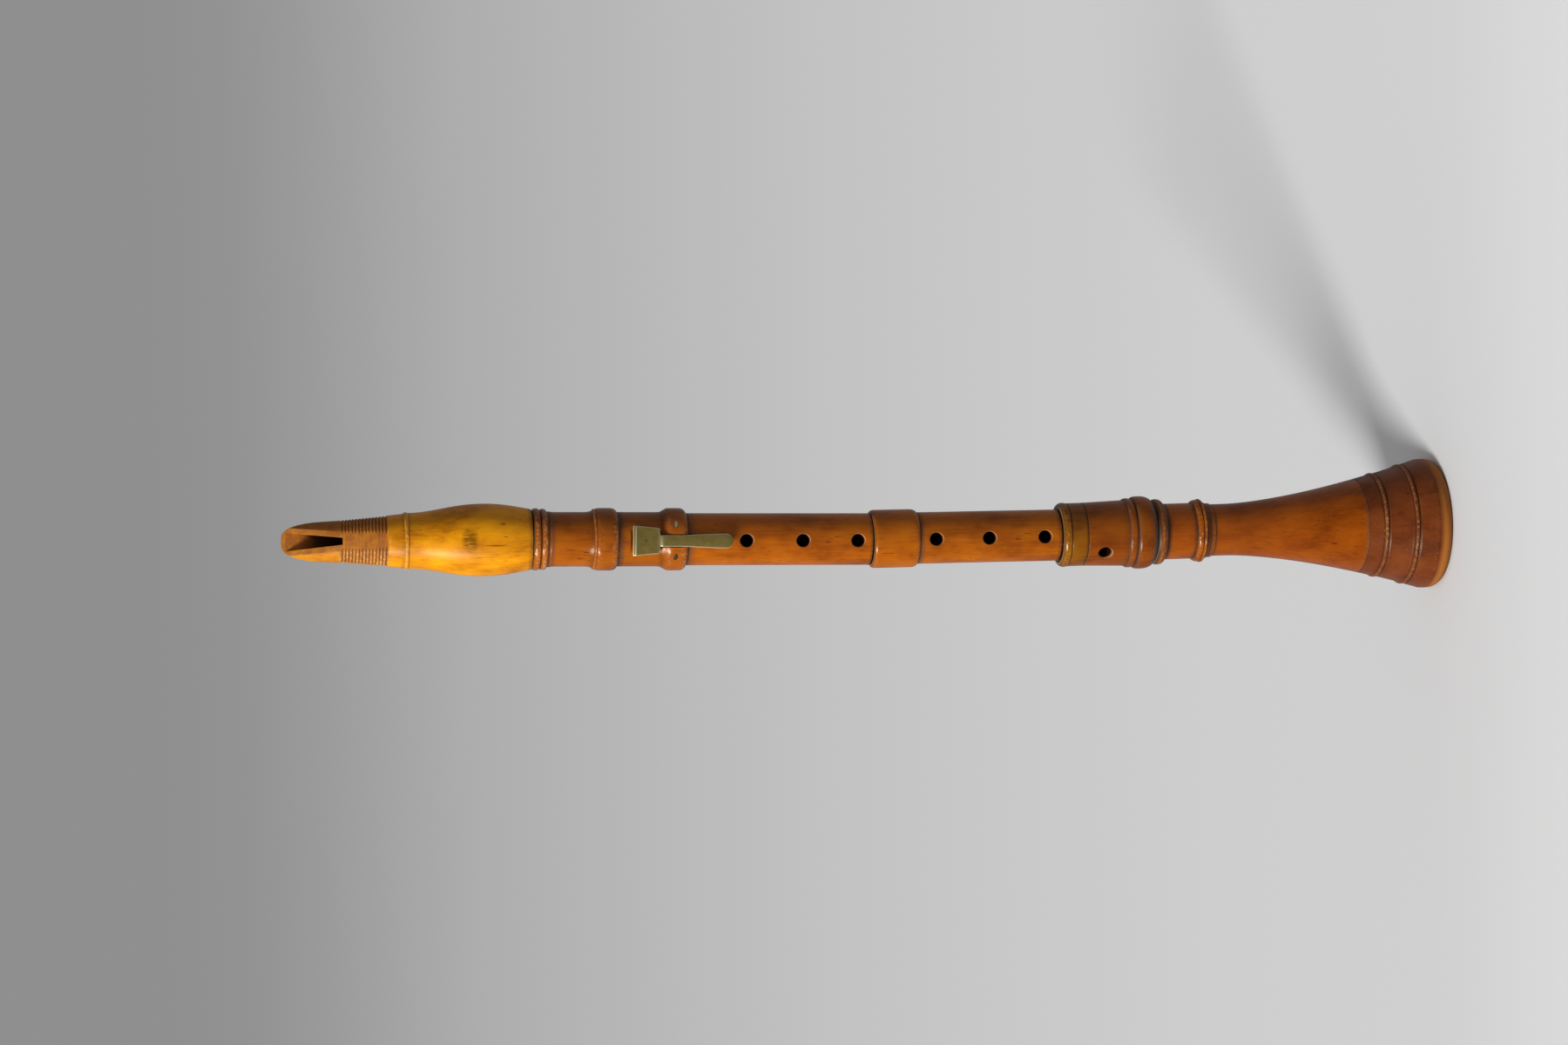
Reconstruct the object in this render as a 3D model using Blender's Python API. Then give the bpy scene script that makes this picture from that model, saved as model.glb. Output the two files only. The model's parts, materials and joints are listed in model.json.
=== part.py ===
"""Two-key boxwood clarinet, standing on its bell.

Metres, +Z up. The origin is the middle of the bell's rim face, and the bore rises along +Z
to the mouthpiece. The front, with the finger holes and the reed table, faces -Y; the thumb
hole and the speaker key face +Y. Each wooden section is turned about its own axis and hangs
on an empty at its shoulder, so a section that is moved or leaned takes its pieces along.
"""

import math

import bmesh
import bpy
from mathutils import Matrix, Vector

MM = 0.001

# Facets of turned wood, of drilled holes and of wire
TURN_STEPS = 28
HOLE_STEPS = 14
WIRE_STEPS = 12

# Fits: glued or driven pieces, running pieces, and a shoulder on its seat
FIT_GAP = 0.15 * MM
RUNNING_GAP = 0.3 * MM
SEAT_GAP = 0.3 * MM
OVERCUT = 1.0 * MM

# Air column
BORE_RADIUS = 6.6 * MM

# Tenons, wound with waxed thread in a shallow groove
TENON_RADIUS = 9.2 * MM
TENON_END_ROUND = 0.6 * MM
LAPPING_GROOVE_DEPTH = 0.5 * MM
LAPPING_PROUD = 0.3 * MM
LAPPING_SHOULDER_LAND = 2.5 * MM
LAPPING_END_LAND = 2.5 * MM
SOCKET_END_GAP = 0.8 * MM
BELL_TENON_LENGTH = 18.0 * MM
FOOT_TENON_LENGTH = 15.0 * MM
MIDDLE_TENON_LENGTH = 15.5 * MM
TOP_TENON_LENGTH = 20.0 * MM

# Lean of each section on the one below it, towards +X: old boxwood seats a little out of line
FOOT_LEAN_DEG = 0.0
LOWER_LEAN_DEG = 0.63
UPPER_LEAN_DEG = 1.14
MOUTHPIECE_LEAN_DEG = -0.68

# Turn of the mouthpiece on its tenon, towards +X: its table isn't quite over the finger holes
MOUTHPIECE_TURN_DEG = 5.0

# Bell rim, a separate ring of wood that widens the bell
RIM_HEIGHT = 37.5 * MM
RIM_RADIUS = 30.4 * MM
RIM_ROUND_HEIGHT = 4.2 * MM
RIM_EDGE_HEIGHT = 7.5 * MM
RIM_FACE_OUTER_RADIUS = 27.0 * MM
RIM_FACE_INNER_RADIUS = 24.6 * MM
RIM_BEAD_HEIGHTS = (16.8 * MM, 29.5 * MM)
RIM_BEAD_WIDTH = 3.6 * MM
RIM_BEAD_PROUD = 0.55 * MM
RIM_SPIGOT_LENGTH = 4.0 * MM

# Bell
FLARE_LENGTH = 64.0 * MM
FLARE_POWER = 1.55
NECK_RADIUS = 12.1 * MM
NECK_LENGTH = 7.6 * MM
NECK_BAND_RADIUS = 12.55 * MM
NECK_BAND_LENGTH = 3.4 * MM
BELL_BEAD_RADIUS = 14.8 * MM
BELL_BEAD_WIDTH = 4.8 * MM
BELL_SOCKET_RADIUS = 13.05 * MM
BELL_SOCKET_LENGTH = 15.7 * MM
BELL_TOP_BEAD_RADIUS = 15.0 * MM
BELL_TOP_BEAD_WIDTH = 3.1 * MM
BELL_FILLET_RADIUS = 13.8 * MM
BELL_FILLET_WIDTH = 1.3 * MM
BELL_BORE_POWER = 1.35

# Foot joint, with the little-finger hole
FOOT_END_RADIUS = 13.6 * MM
FOOT_RING_RADIUS = 16.8 * MM
FOOT_RING_LENGTH = 9.8 * MM
FOOT_RING_ROUND = 4.4 * MM
FOOT_RING_FALL = 2.8 * MM
FOOT_RING_ROOT_RADIUS = 15.5 * MM
FOOT_BEAD_RADIUS = 16.2 * MM
FOOT_BEAD_WIDTH = 3.6 * MM
FOOT_BODY_LOW_RADIUS = 15.3 * MM
FOOT_BODY_HIGH_RADIUS = 14.65 * MM
FOOT_BODY_LENGTH = 19.7 * MM
FOOT_SPIGOT_RADIUS = 12.4 * MM
LITTLE_FINGER_HOLE_RADIUS = 2.7 * MM
LITTLE_FINGER_HOLE_ANGLE_DEG = -34.5
LITTLE_FINGER_HOLE_BELOW_COLLAR = 7.8 * MM

# Collar of paler wood round the foot joint's socket
COLLAR_BAND_LENGTH = 7.6 * MM
COLLAR_GROOVE_WIDTH = 0.6 * MM
COLLAR_GROOVE_DEPTH = 0.4 * MM
COLLAR_LIP_LENGTH = 3.6 * MM
COLLAR_LIP_RADIUS = 14.95 * MM
COLLAR_MOUTH_RADIUS = 12.9 * MM

# Finger holes of the two middle joints
FINGER_HOLE_RADIUS = 2.75 * MM
THUMB_HOLE_RADIUS = 2.9 * MM
RING_FINGER_HOLE_HEIGHT = 8.1 * MM
RIGHT_HAND_SPACINGS = (26.3 * MM, 25.0 * MM)
LEFT_RING_FINGER_HOLE_HEIGHT = 7.1 * MM
LEFT_HAND_SPACINGS = (25.5 * MM, 26.1 * MM)
THUMB_HOLE_ABOVE_INDEX = 10.5 * MM

# Lower joint
LOWER_TUBE_RADIUS = 11.9 * MM
SOCKET_RING_RADIUS = 13.4 * MM
SOCKET_RING_LENGTH = 22.0 * MM
SOCKET_RING_ROUND = 3.6 * MM
SOCKET_RING_ABOVE_HOLE = 7.0 * MM

# Upper joint
UPPER_TUBE_RADIUS = 11.9 * MM
KEY_TUBE_RADIUS = 12.4 * MM
KEY_RING_RADIUS = 14.25 * MM
KEY_RING_LENGTH = 13.4 * MM
KEY_RING_ROUND = 3.6 * MM
KEY_RING_OGEE = 4.8 * MM
SPAN_BETWEEN_RINGS = 18.2 * MM
SPAN_ABOVE_RINGS = 17.3 * MM
TOP_COVE_LENGTH = 2.4 * MM
TOP_BEAD_RADIUS = 14.0 * MM
TOP_BEAD_WIDTH = 3.2 * MM
TOP_BEAD_ROOT_RADIUS = 12.9 * MM

# Keys: flap over the tone hole, hinge in the ring, touch for the finger
KEY_PIN_RADIUS = 0.85 * MM
KEY_PIN_DEPTH = 12.0 * MM
KEY_WIDTH = 5.2 * MM
KEY_THICKNESS = 1.3 * MM
KEY_BOSS_LENGTH = 5.2 * MM
KEY_BOSS_DEPTH = 1.5 * MM
KEY_BRIDGE_HEIGHT = 2.6 * MM
FLAP_LENGTH = 12.2 * MM
FLAP_WIDTH = 13.8 * MM
FLAP_INNER_WIDTH = 12.0 * MM
FLAP_OFFSET = 7.5 * MM
TOUCH_WIDTH = 6.8 * MM
TOUCH_END_WIDTH = 1.0 * MM
FRONT_TOUCH_LENGTH = 25.8 * MM
FRONT_TOUCH_RISE = 3.9 * MM
FRONT_TOUCH_ABOVE_INDEX = 6.8 * MM
REAR_TOUCH_LENGTH = 46.0 * MM
REAR_TOUCH_RISE = 6.9 * MM
KEY_SLOT_CLEARANCE = 0.4 * MM
KEY_SLOT_DEPTH = 0.7 * MM

# Pads and their flat seats, tone hole and speaker tube
PAD_THICKNESS = 1.3 * MM
PAD_SIDE = 10.4 * MM
PAD_SEAT_DEPTH = 11.0 * MM
PAD_SEAT_MARGIN = 0.9 * MM
TONE_HOLE_RADIUS = 2.8 * MM
SPEAKER_TUBE_RADIUS = 2.0 * MM
SPEAKER_TUBE_WALL = 0.6 * MM
SPEAKER_TUBE_INTO_BORE = 2.0 * MM

# Key springs, leaves of sheet brass riveted under the touches
SPRING_THICKNESS = 0.45 * MM
SPRING_WIDTH = 3.4 * MM
SPRING_LENGTH = 14.0 * MM
SPRING_OFFSET = 8.6 * MM
SPRING_BEND_POWER = 1.5
SPRING_CHANNEL_DEPTH = 10.8 * MM
RIVET_RADIUS = 0.75 * MM
RIVET_HEAD_RADIUS = 1.25 * MM
RIVET_HEAD_HEIGHT = 0.45 * MM
RIVET_OFFSET = 1.6 * MM

# Barrel, one piece with the mouthpiece
BARREL_END_RADIUS = 13.75 * MM
BARREL_RADIUS = 16.4 * MM
BARREL_LOWER_LENGTH = 21.0 * MM
BARREL_UPPER_LENGTH = 34.0 * MM
BARREL_NECK_RADIUS = 12.6 * MM
MOUTHPIECE_BEAD_RADIUS = 12.95 * MM
MOUTHPIECE_BEAD_WIDTH = 2.8 * MM

# Mouthpiece: a cone with a flat lay in front and a sloping beak behind
CONE_COLLAR_LENGTH = 6.9 * MM
CONE_COLLAR_RADIUS = 11.5 * MM
STRING_GROOVES = 14
STRING_GROOVE_PITCH = 1.5 * MM
STRING_GROOVE_DEPTH = 0.35 * MM
CONE_LOW_RADIUS = 11.3 * MM
CONE_HIGH_RADIUS = 9.5 * MM
BEAK_LENGTH = 26.2 * MM
BEAK_END_RADIUS = 8.0 * MM
LAY_DEPTH = 10.45 * MM
LAY_SLOPE_DEG = 5.5
FACING_CURVE = 1.0 * MM
TIP_THICKNESS = 1.3 * MM
BEAK_SLOPE_DEG = 18.8
BEAK_WALL = 2.2 * MM
TIP_ROUND_LENGTH = 14.0 * MM
TIP_ROUND_HALF_WIDTH = 8.4 * MM
TIP_ROUND_POWER = 2.2
WINDOW_LENGTH = 25.0 * MM
WINDOW_LOW_WIDTH = 3.0 * MM
WINDOW_HIGH_WIDTH = 8.2 * MM
TIP_RAIL = 2.0 * MM
TABLE_WALL = 3.6 * MM
THROAT_LENGTH = 15.0 * MM

FRONT = 0.0
BACK = math.pi

STAINED_BOXWOOD = ("stained_boxwood", (0.40, 0.13, 0.015), 0.38, 0.0)
PALE_BOXWOOD = ("pale_boxwood", (0.60, 0.29, 0.03), 0.38, 0.0)
RED_BOXWOOD = ("red_boxwood", (0.27, 0.07, 0.012), 0.38, 0.0)
AGED_BRASS = ("aged_brass", (0.42, 0.36, 0.16), 0.35, 1.0)
KID_LEATHER = ("kid_leather", (0.55, 0.43, 0.30), 0.8, 0.0)
WAXED_THREAD = ("waxed_thread", (0.62, 0.50, 0.33), 0.9, 0.0)


# Scene helpers


def clear_scene():
    for obj in list(bpy.data.objects):
        bpy.data.objects.remove(obj)


def finish_material(finish):
    """The named Principled material, made once."""
    name, colour, roughness, metallic = finish
    found = bpy.data.materials.get(name)
    if found:
        return found
    made = bpy.data.materials.new(name)
    made.use_nodes = True
    shader = made.node_tree.nodes["Principled BSDF"]
    shader.inputs["Base Color"].default_value = (*colour, 1.0)
    shader.inputs["Roughness"].default_value = roughness
    shader.inputs["Metallic"].default_value = metallic
    return made


def add_object(name, bm, finish, parent):
    """Turns a bmesh into a named object that hangs on its section's empty."""
    bmesh.ops.remove_doubles(bm, verts=bm.verts, dist=1e-7)
    bmesh.ops.recalc_face_normals(bm, faces=bm.faces)
    mesh = bpy.data.meshes.new(name)
    bm.to_mesh(mesh)
    bm.free()
    mesh.shade_smooth()
    mesh.set_sharp_from_angle(angle=math.radians(35))
    mesh.materials.append(finish_material(finish))
    obj = bpy.data.objects.new(name, mesh)
    obj.parent = parent
    bpy.context.scene.collection.objects.link(obj)
    return obj


def add_frame(name, parent, height, lean_deg=0.0, turn_deg=0.0):
    """An empty on the section's axis at its shoulder, turned on that axis and leaned towards +X."""
    empty = bpy.data.objects.new(name, None)
    empty.parent = parent
    empty.location = (0, 0, height)
    empty.rotation_mode = "ZYX"
    empty.rotation_euler = (0, math.radians(lean_deg), math.radians(turn_deg))
    bpy.context.scene.collection.objects.link(empty)
    return empty


def boolean(target, other, operation):
    """Cuts or keeps target with another object, which becomes a hidden helper."""
    other.hide_render = True
    other.display_type = "WIRE"
    modifier = target.modifiers.new(other.name, "BOOLEAN")
    modifier.operation = operation
    modifier.solver = "EXACT"
    modifier.object = other


# Profiles of turned wood, as (radius, height) points


def ramp(start, end, shape, steps):
    """Points after start up to end: a quarter round, a softer one that rises or falls, or an ogee."""
    (r0, z0), (r1, z1) = start, end
    points = []
    for i in range(1, steps + 1):
        u = i / steps
        climb = u
        if shape == "round":
            share = math.sin(u * math.pi / 2)
            climb = 1 - math.cos(u * math.pi / 2)
        elif shape == "rise":
            share = math.sin(u * math.pi / 2)
        elif shape == "fall":
            share = 1 - math.cos(u * math.pi / 2)
        else:
            share = (1 - math.cos(u * math.pi)) / 2
        points.append((r0 + (r1 - r0) * share, z0 + (z1 - z0) * climb))
    return points


def bead(root, crest, low, high, steps=5):
    """A half-round bead between two heights, ends included."""
    middle, half = (low + high) / 2, (high - low) / 2
    points = []
    for i in range(steps + 1):
        angle = math.pi * i / steps
        points.append((root + (crest - root) * math.sin(angle), middle - half * math.cos(angle)))
    return points


def tenon_profile(base, length, up):
    """A tenon from its shoulder to its end, with the groove for the thread."""
    way = 1 if up else -1
    groove = TENON_RADIUS - LAPPING_GROOVE_DEPTH
    first = base + way * LAPPING_SHOULDER_LAND
    last = base + way * (length - LAPPING_END_LAND)
    end = base + way * length
    return [
        (TENON_RADIUS, base),
        (TENON_RADIUS, first),
        (groove, first),
        (groove, last),
        (TENON_RADIUS, last),
        (TENON_RADIUS, end - way * TENON_END_ROUND),
        (TENON_RADIUS - TENON_END_ROUND, end),
        (BORE_RADIUS, end),
    ]


def socket_radius(tenon_length, lean_deg):
    """Wide enough for the wound tenon with running clearance along its lean."""
    return TENON_RADIUS + LAPPING_PROUD + RUNNING_GAP + tenon_length * math.tan(abs(math.radians(lean_deg)))


def seat_gap(shoulder_radius, lean_deg):
    """Gap under a shoulder, so that a leaning one stays clear of its seat."""
    return SEAT_GAP + shoulder_radius * math.tan(abs(math.radians(lean_deg)))


def turned(name, profile, finish, parent, closed=True):
    """Wood turned on the lathe: a profile spun round the section's axis."""
    bm = bmesh.new()
    verts = [bm.verts.new((radius, 0, height)) for radius, height in profile]
    pairs = list(zip(verts, verts[1:]))
    if closed:
        pairs.append((verts[-1], verts[0]))
    edges = [bm.edges.new(pair) for pair in pairs]
    bmesh.ops.spin(
        bm,
        geom=verts + edges,
        cent=(0, 0, 0),
        axis=(0, 0, 1),
        angle=2 * math.pi,
        steps=TURN_STEPS,
        use_merge=True,
    )
    return add_object(name, bm, finish, parent)


# Solids other than turned wood


def rod(name, start, end, radius, steps, finish, parent):
    """A round bar between two points."""
    start, end = Vector(start), Vector(end)
    along = end - start
    bm = bmesh.new()
    bmesh.ops.create_cone(
        bm, cap_ends=True, segments=steps, radius1=radius, radius2=radius, depth=along.length
    )
    turn = along.to_track_quat("Z", "Y").to_matrix().to_4x4()
    bm.transform(Matrix.Translation((start + end) / 2) @ turn)
    return add_object(name, bm, finish, parent)


def loft(name, stations, finish, parent):
    """Four-cornered sections joined end to end; each station is its four corners in order."""
    bm = bmesh.new()
    rings = [[bm.verts.new(corner) for corner in corners] for corners in stations]
    for ring, following in zip(rings, rings[1:]):
        for i in range(4):
            j = (i + 1) % 4
            bm.faces.new((ring[i], ring[j], following[j], following[i]))
    bm.faces.new(rings[0][::-1])
    bm.faces.new(rings[-1])
    return add_object(name, bm, finish, parent)


def block(name, low, high, finish, parent):
    """A box between two corners."""
    (x0, y0, z0), (x1, y1, z1) = low, high
    stations = [[(x0, y0, z), (x1, y0, z), (x1, y1, z), (x0, y1, z)] for z in (z0, z1)]
    return loft(name, stations, finish, parent)


def drill(target, name, angle, height, radius, inner, outer, finish, parent):
    """A hole into the bore; angle 0 is the front, and positive turns towards +X."""
    way = Vector((math.sin(angle), -math.cos(angle), 0))
    up = Vector((0, 0, height))
    tool = rod(name, way * inner + up, way * outer + up, radius, HOLE_STEPS, finish, parent)
    boolean(target, tool, "DIFFERENCE")


# Wooden sections, from the floor up


def flare_radius(height):
    """Outer radius of the bell, rim included, below its neck."""
    top = RIM_HEIGHT + FLARE_LENGTH
    share = max(0.0, (top - height) / (top - RIM_EDGE_HEIGHT))
    return NECK_RADIUS + (RIM_RADIUS - NECK_RADIUS) * share**FLARE_POWER


def bell_bore_radius(height):
    """Inner radius of the bell, from its socket down to the rim face."""
    top = bell_top() - BELL_TENON_LENGTH - SOCKET_END_GAP
    share = (top - height) / top
    return BORE_RADIUS + (RIM_FACE_INNER_RADIUS - BORE_RADIUS) * share**BELL_BORE_POWER


def bell_top():
    """Height of the bell's upper end."""
    neck_top = RIM_HEIGHT + FLARE_LENGTH + NECK_LENGTH + NECK_BAND_LENGTH
    socket_top = neck_top + BELL_BEAD_WIDTH + BELL_SOCKET_LENGTH
    return socket_top + BELL_FILLET_WIDTH + BELL_TOP_BEAD_WIDTH


def rim_spigot_radius():
    """Half-way through the wall where the rim meets the bell."""
    return (flare_radius(RIM_HEIGHT) + bell_bore_radius(RIM_HEIGHT)) / 2


def flare_points(low, high, steps):
    """Points of the bell's outside between two heights."""
    heights = [low + (high - low) * i / steps for i in range(steps + 1)]
    return [(flare_radius(height), height) for height in heights]


def make_bell_rim(frame):
    recess = rim_spigot_radius() + FIT_GAP
    profile = [(RIM_FACE_INNER_RADIUS, 0), (RIM_FACE_OUTER_RADIUS, 0)]
    profile += ramp((RIM_FACE_OUTER_RADIUS, 0), (RIM_RADIUS, RIM_ROUND_HEIGHT), "round", 4)
    profile.append((RIM_RADIUS, RIM_EDGE_HEIGHT))
    low = RIM_EDGE_HEIGHT
    for middle in RIM_BEAD_HEIGHTS:
        start, end = middle - RIM_BEAD_WIDTH / 2, middle + RIM_BEAD_WIDTH / 2
        profile += flare_points(low, start, 2)[1:]
        crest = (flare_radius(middle) + RIM_BEAD_PROUD, middle)
        profile += [crest, (flare_radius(end), end)]
        low = end
    profile.append((flare_radius(RIM_HEIGHT), RIM_HEIGHT))
    step = RIM_HEIGHT - RIM_SPIGOT_LENGTH
    profile += [(recess, RIM_HEIGHT), (recess, step)]
    inner_steps = 4
    for i in range(inner_steps):
        height = step * (1 - i / inner_steps)
        profile.append((bell_bore_radius(height), height))
    return turned("bell_rim", profile, RED_BOXWOOD, frame)


def make_bell(frame):
    spigot, base = rim_spigot_radius(), RIM_HEIGHT + FIT_GAP
    foot_of_spigot = base - RIM_SPIGOT_LENGTH
    neck_low = RIM_HEIGHT + FLARE_LENGTH
    band_low = neck_low + NECK_LENGTH
    band_high = band_low + NECK_BAND_LENGTH
    bead_high = band_high + BELL_BEAD_WIDTH
    socket_high = bead_high + BELL_SOCKET_LENGTH
    fillet_high = socket_high + BELL_FILLET_WIDTH
    top = bell_top()
    socket = socket_radius(BELL_TENON_LENGTH, FOOT_LEAN_DEG)
    socket_end = top - BELL_TENON_LENGTH - SOCKET_END_GAP
    profile = [(spigot, foot_of_spigot), (spigot, base)]
    profile += flare_points(base, neck_low, 8)
    profile += [(NECK_RADIUS, band_low), (NECK_BAND_RADIUS, band_low), (NECK_BAND_RADIUS, band_high)]
    profile += bead(BELL_SOCKET_RADIUS, BELL_BEAD_RADIUS, band_high, bead_high)
    profile += [(BELL_SOCKET_RADIUS, socket_high), (BELL_FILLET_RADIUS, socket_high)]
    profile += bead(BELL_FILLET_RADIUS, BELL_TOP_BEAD_RADIUS, fillet_high, top, 4)
    profile += [(socket, top), (socket, socket_end)]
    inner_steps = 6
    for i in range(inner_steps + 1):
        height = socket_end + (foot_of_spigot - socket_end) * i / inner_steps
        profile.append((bell_bore_radius(height), height))
    return turned("bell", profile, STAINED_BOXWOOD, frame)


def foot_length():
    """Height of the foot joint from its shoulder to its socket's mouth."""
    return FOOT_RING_LENGTH + FOOT_BEAD_WIDTH + FOOT_BODY_LENGTH + collar_length()


def collar_length():
    return COLLAR_BAND_LENGTH + COLLAR_GROOVE_WIDTH + COLLAR_LIP_LENGTH


def make_foot_joint(frame):
    bead_low = FOOT_RING_LENGTH
    body_low = bead_low + FOOT_BEAD_WIDTH
    step = body_low + FOOT_BODY_LENGTH
    top = foot_length()
    socket = socket_radius(FOOT_TENON_LENGTH, LOWER_LEAN_DEG)
    socket_end = top - FOOT_TENON_LENGTH - SOCKET_END_GAP
    profile = tenon_profile(0, BELL_TENON_LENGTH, up=False)[::-1]
    profile.append((FOOT_END_RADIUS, 0))
    profile += ramp((FOOT_END_RADIUS, 0), (FOOT_RING_RADIUS, FOOT_RING_ROUND), "rise", 4)
    crest = (FOOT_RING_RADIUS, bead_low - FOOT_RING_FALL)
    profile.append(crest)
    profile += ramp(crest, (FOOT_RING_ROOT_RADIUS, bead_low), "fall", 2)
    profile += bead(FOOT_RING_ROOT_RADIUS, FOOT_BEAD_RADIUS, bead_low, body_low, 4)[1:-1]
    profile += [(FOOT_BODY_LOW_RADIUS, body_low), (FOOT_BODY_HIGH_RADIUS, step)]
    profile += [(FOOT_SPIGOT_RADIUS, step), (FOOT_SPIGOT_RADIUS, top)]
    profile += [(socket, top), (socket, socket_end), (BORE_RADIUS, socket_end)]
    joint = turned("foot_joint", profile, STAINED_BOXWOOD, frame)
    drill(
        joint,
        "little_finger_drill",
        math.radians(LITTLE_FINGER_HOLE_ANGLE_DEG),
        step - LITTLE_FINGER_HOLE_BELOW_COLLAR,
        LITTLE_FINGER_HOLE_RADIUS,
        BORE_RADIUS / 2,
        FOOT_RING_RADIUS + OVERCUT,
        STAINED_BOXWOOD,
        frame,
    )
    return joint


def make_foot_collar(frame):
    inner = FOOT_SPIGOT_RADIUS + FIT_GAP
    top = foot_length()
    base = top - collar_length() + FIT_GAP
    groove_low = top - COLLAR_LIP_LENGTH - COLLAR_GROOVE_WIDTH
    lip_low = top - COLLAR_LIP_LENGTH
    band = FOOT_BODY_HIGH_RADIUS
    profile = [(inner, base), (band, base), (band, groove_low)]
    profile.append((band - COLLAR_GROOVE_DEPTH, groove_low + COLLAR_GROOVE_WIDTH / 2))
    profile.append((band, lip_low))
    lip_crest = (COLLAR_LIP_RADIUS, lip_low + COLLAR_LIP_LENGTH / 3)
    profile.append(lip_crest)
    profile += ramp(lip_crest, (COLLAR_MOUTH_RADIUS, top), "fall", 4)
    profile.append((inner, top))
    return turned("foot_socket_collar", profile, PALE_BOXWOOD, frame)


def lower_hole_heights():
    """Right-hand finger holes, from the ring finger up."""
    heights = [RING_FINGER_HOLE_HEIGHT]
    for spacing in RIGHT_HAND_SPACINGS:
        heights.append(heights[-1] + spacing)
    return heights


def lower_length():
    return lower_hole_heights()[-1] + SOCKET_RING_ABOVE_HOLE + SOCKET_RING_LENGTH


def make_lower_joint(frame):
    top = lower_length()
    ring_low = top - SOCKET_RING_LENGTH
    socket = socket_radius(MIDDLE_TENON_LENGTH, UPPER_LEAN_DEG)
    socket_end = top - MIDDLE_TENON_LENGTH - SOCKET_END_GAP
    tube, ring = LOWER_TUBE_RADIUS, SOCKET_RING_RADIUS
    profile = tenon_profile(0, FOOT_TENON_LENGTH, up=False)[::-1]
    profile += [(tube, 0), (tube, ring_low)]
    profile += ramp((tube, ring_low), (ring, ring_low + SOCKET_RING_ROUND), "rise", 3)
    profile.append((ring, top - SOCKET_RING_ROUND))
    profile += ramp((ring, top - SOCKET_RING_ROUND), (tube, top), "fall", 3)
    profile += [(socket, top), (socket, socket_end), (BORE_RADIUS, socket_end)]
    joint = turned("lower_joint", profile, STAINED_BOXWOOD, frame)
    for number, height in enumerate(lower_hole_heights(), 1):
        finger_hole(joint, f"right_hand_drill_{number}", FRONT, height, FINGER_HOLE_RADIUS, frame)
    return joint


def finger_hole(joint, name, angle, height, radius, frame):
    outer = KEY_RING_RADIUS + OVERCUT
    drill(joint, name, angle, height, radius, BORE_RADIUS / 2, outer, STAINED_BOXWOOD, frame)


def upper_hole_heights():
    """Left-hand finger holes, from the ring finger up."""
    heights = [LEFT_RING_FINGER_HOLE_HEIGHT]
    for spacing in LEFT_HAND_SPACINGS:
        heights.append(heights[-1] + spacing)
    return heights


def front_pin_height():
    """Hinge of the front key, in the middle of the lower key ring."""
    return upper_hole_heights()[-1] + FRONT_TOUCH_ABOVE_INDEX + FRONT_TOUCH_LENGTH


def rear_pin_height():
    """Hinge of the speaker key, in the middle of the upper key ring."""
    return front_pin_height() + KEY_RING_LENGTH + SPAN_BETWEEN_RINGS


def upper_length():
    span = KEY_RING_LENGTH / 2 + SPAN_ABOVE_RINGS + TOP_COVE_LENGTH
    return rear_pin_height() + span + 2 * TOP_BEAD_WIDTH


def key_ring_profile(pin_height, tube_below):
    """One key ring: a quarter round below and an ogee above its crest."""
    low, high = pin_height - KEY_RING_LENGTH / 2, pin_height + KEY_RING_LENGTH / 2
    crest_low = (KEY_RING_RADIUS, low + KEY_RING_ROUND)
    crest_high = (KEY_RING_RADIUS, high - KEY_RING_OGEE)
    points = [(tube_below, low)]
    points += ramp(points[0], crest_low, "rise", 3)
    points.append(crest_high)
    points += ramp(crest_high, (KEY_TUBE_RADIUS, high), "ogee", 4)
    return points


def make_upper_joint(frame):
    top = upper_length()
    bead_low, bead_middle = top - 2 * TOP_BEAD_WIDTH, top - TOP_BEAD_WIDTH
    profile = tenon_profile(0, MIDDLE_TENON_LENGTH, up=False)[::-1]
    profile.append((UPPER_TUBE_RADIUS, 0))
    profile += key_ring_profile(front_pin_height(), UPPER_TUBE_RADIUS)
    profile += key_ring_profile(rear_pin_height(), KEY_TUBE_RADIUS)
    cove = (KEY_TUBE_RADIUS, bead_low - TOP_COVE_LENGTH)
    profile.append(cove)
    profile += ramp(cove, (TOP_BEAD_ROOT_RADIUS, bead_low), "fall", 2)
    profile += bead(TOP_BEAD_ROOT_RADIUS, TOP_BEAD_RADIUS, bead_low, bead_middle, 4)[1:]
    profile += bead(TOP_BEAD_ROOT_RADIUS, TOP_BEAD_RADIUS, bead_middle, top, 4)[1:]
    profile += tenon_profile(top, TOP_TENON_LENGTH, up=True)
    joint = turned("upper_joint", profile, STAINED_BOXWOOD, frame)
    index = upper_hole_heights()[-1]
    for number, height in enumerate(upper_hole_heights(), 1):
        finger_hole(joint, f"left_hand_drill_{number}", FRONT, height, FINGER_HOLE_RADIUS, frame)
    finger_hole(joint, "thumb_drill", BACK, index + THUMB_HOLE_ABOVE_INDEX, THUMB_HOLE_RADIUS, frame)
    cut_key_seat(joint, "front", FRONT, front_pin_height(), FRONT_TOUCH_LENGTH, TONE_HOLE_RADIUS, frame)
    speaker_hole = SPEAKER_TUBE_RADIUS + FIT_GAP
    cut_key_seat(joint, "rear", BACK, rear_pin_height(), FRONT_TOUCH_LENGTH, speaker_hole, frame)
    cut_guide_slot(joint, frame)
    return joint


def slot_half_width():
    return KEY_WIDTH / 2 + KEY_SLOT_CLEARANCE


def turned_frame(name, angle, height, parent):
    """An empty on the section's axis, facing the front or the back."""
    return add_frame(name, parent, height, turn_deg=math.degrees(angle))


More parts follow.
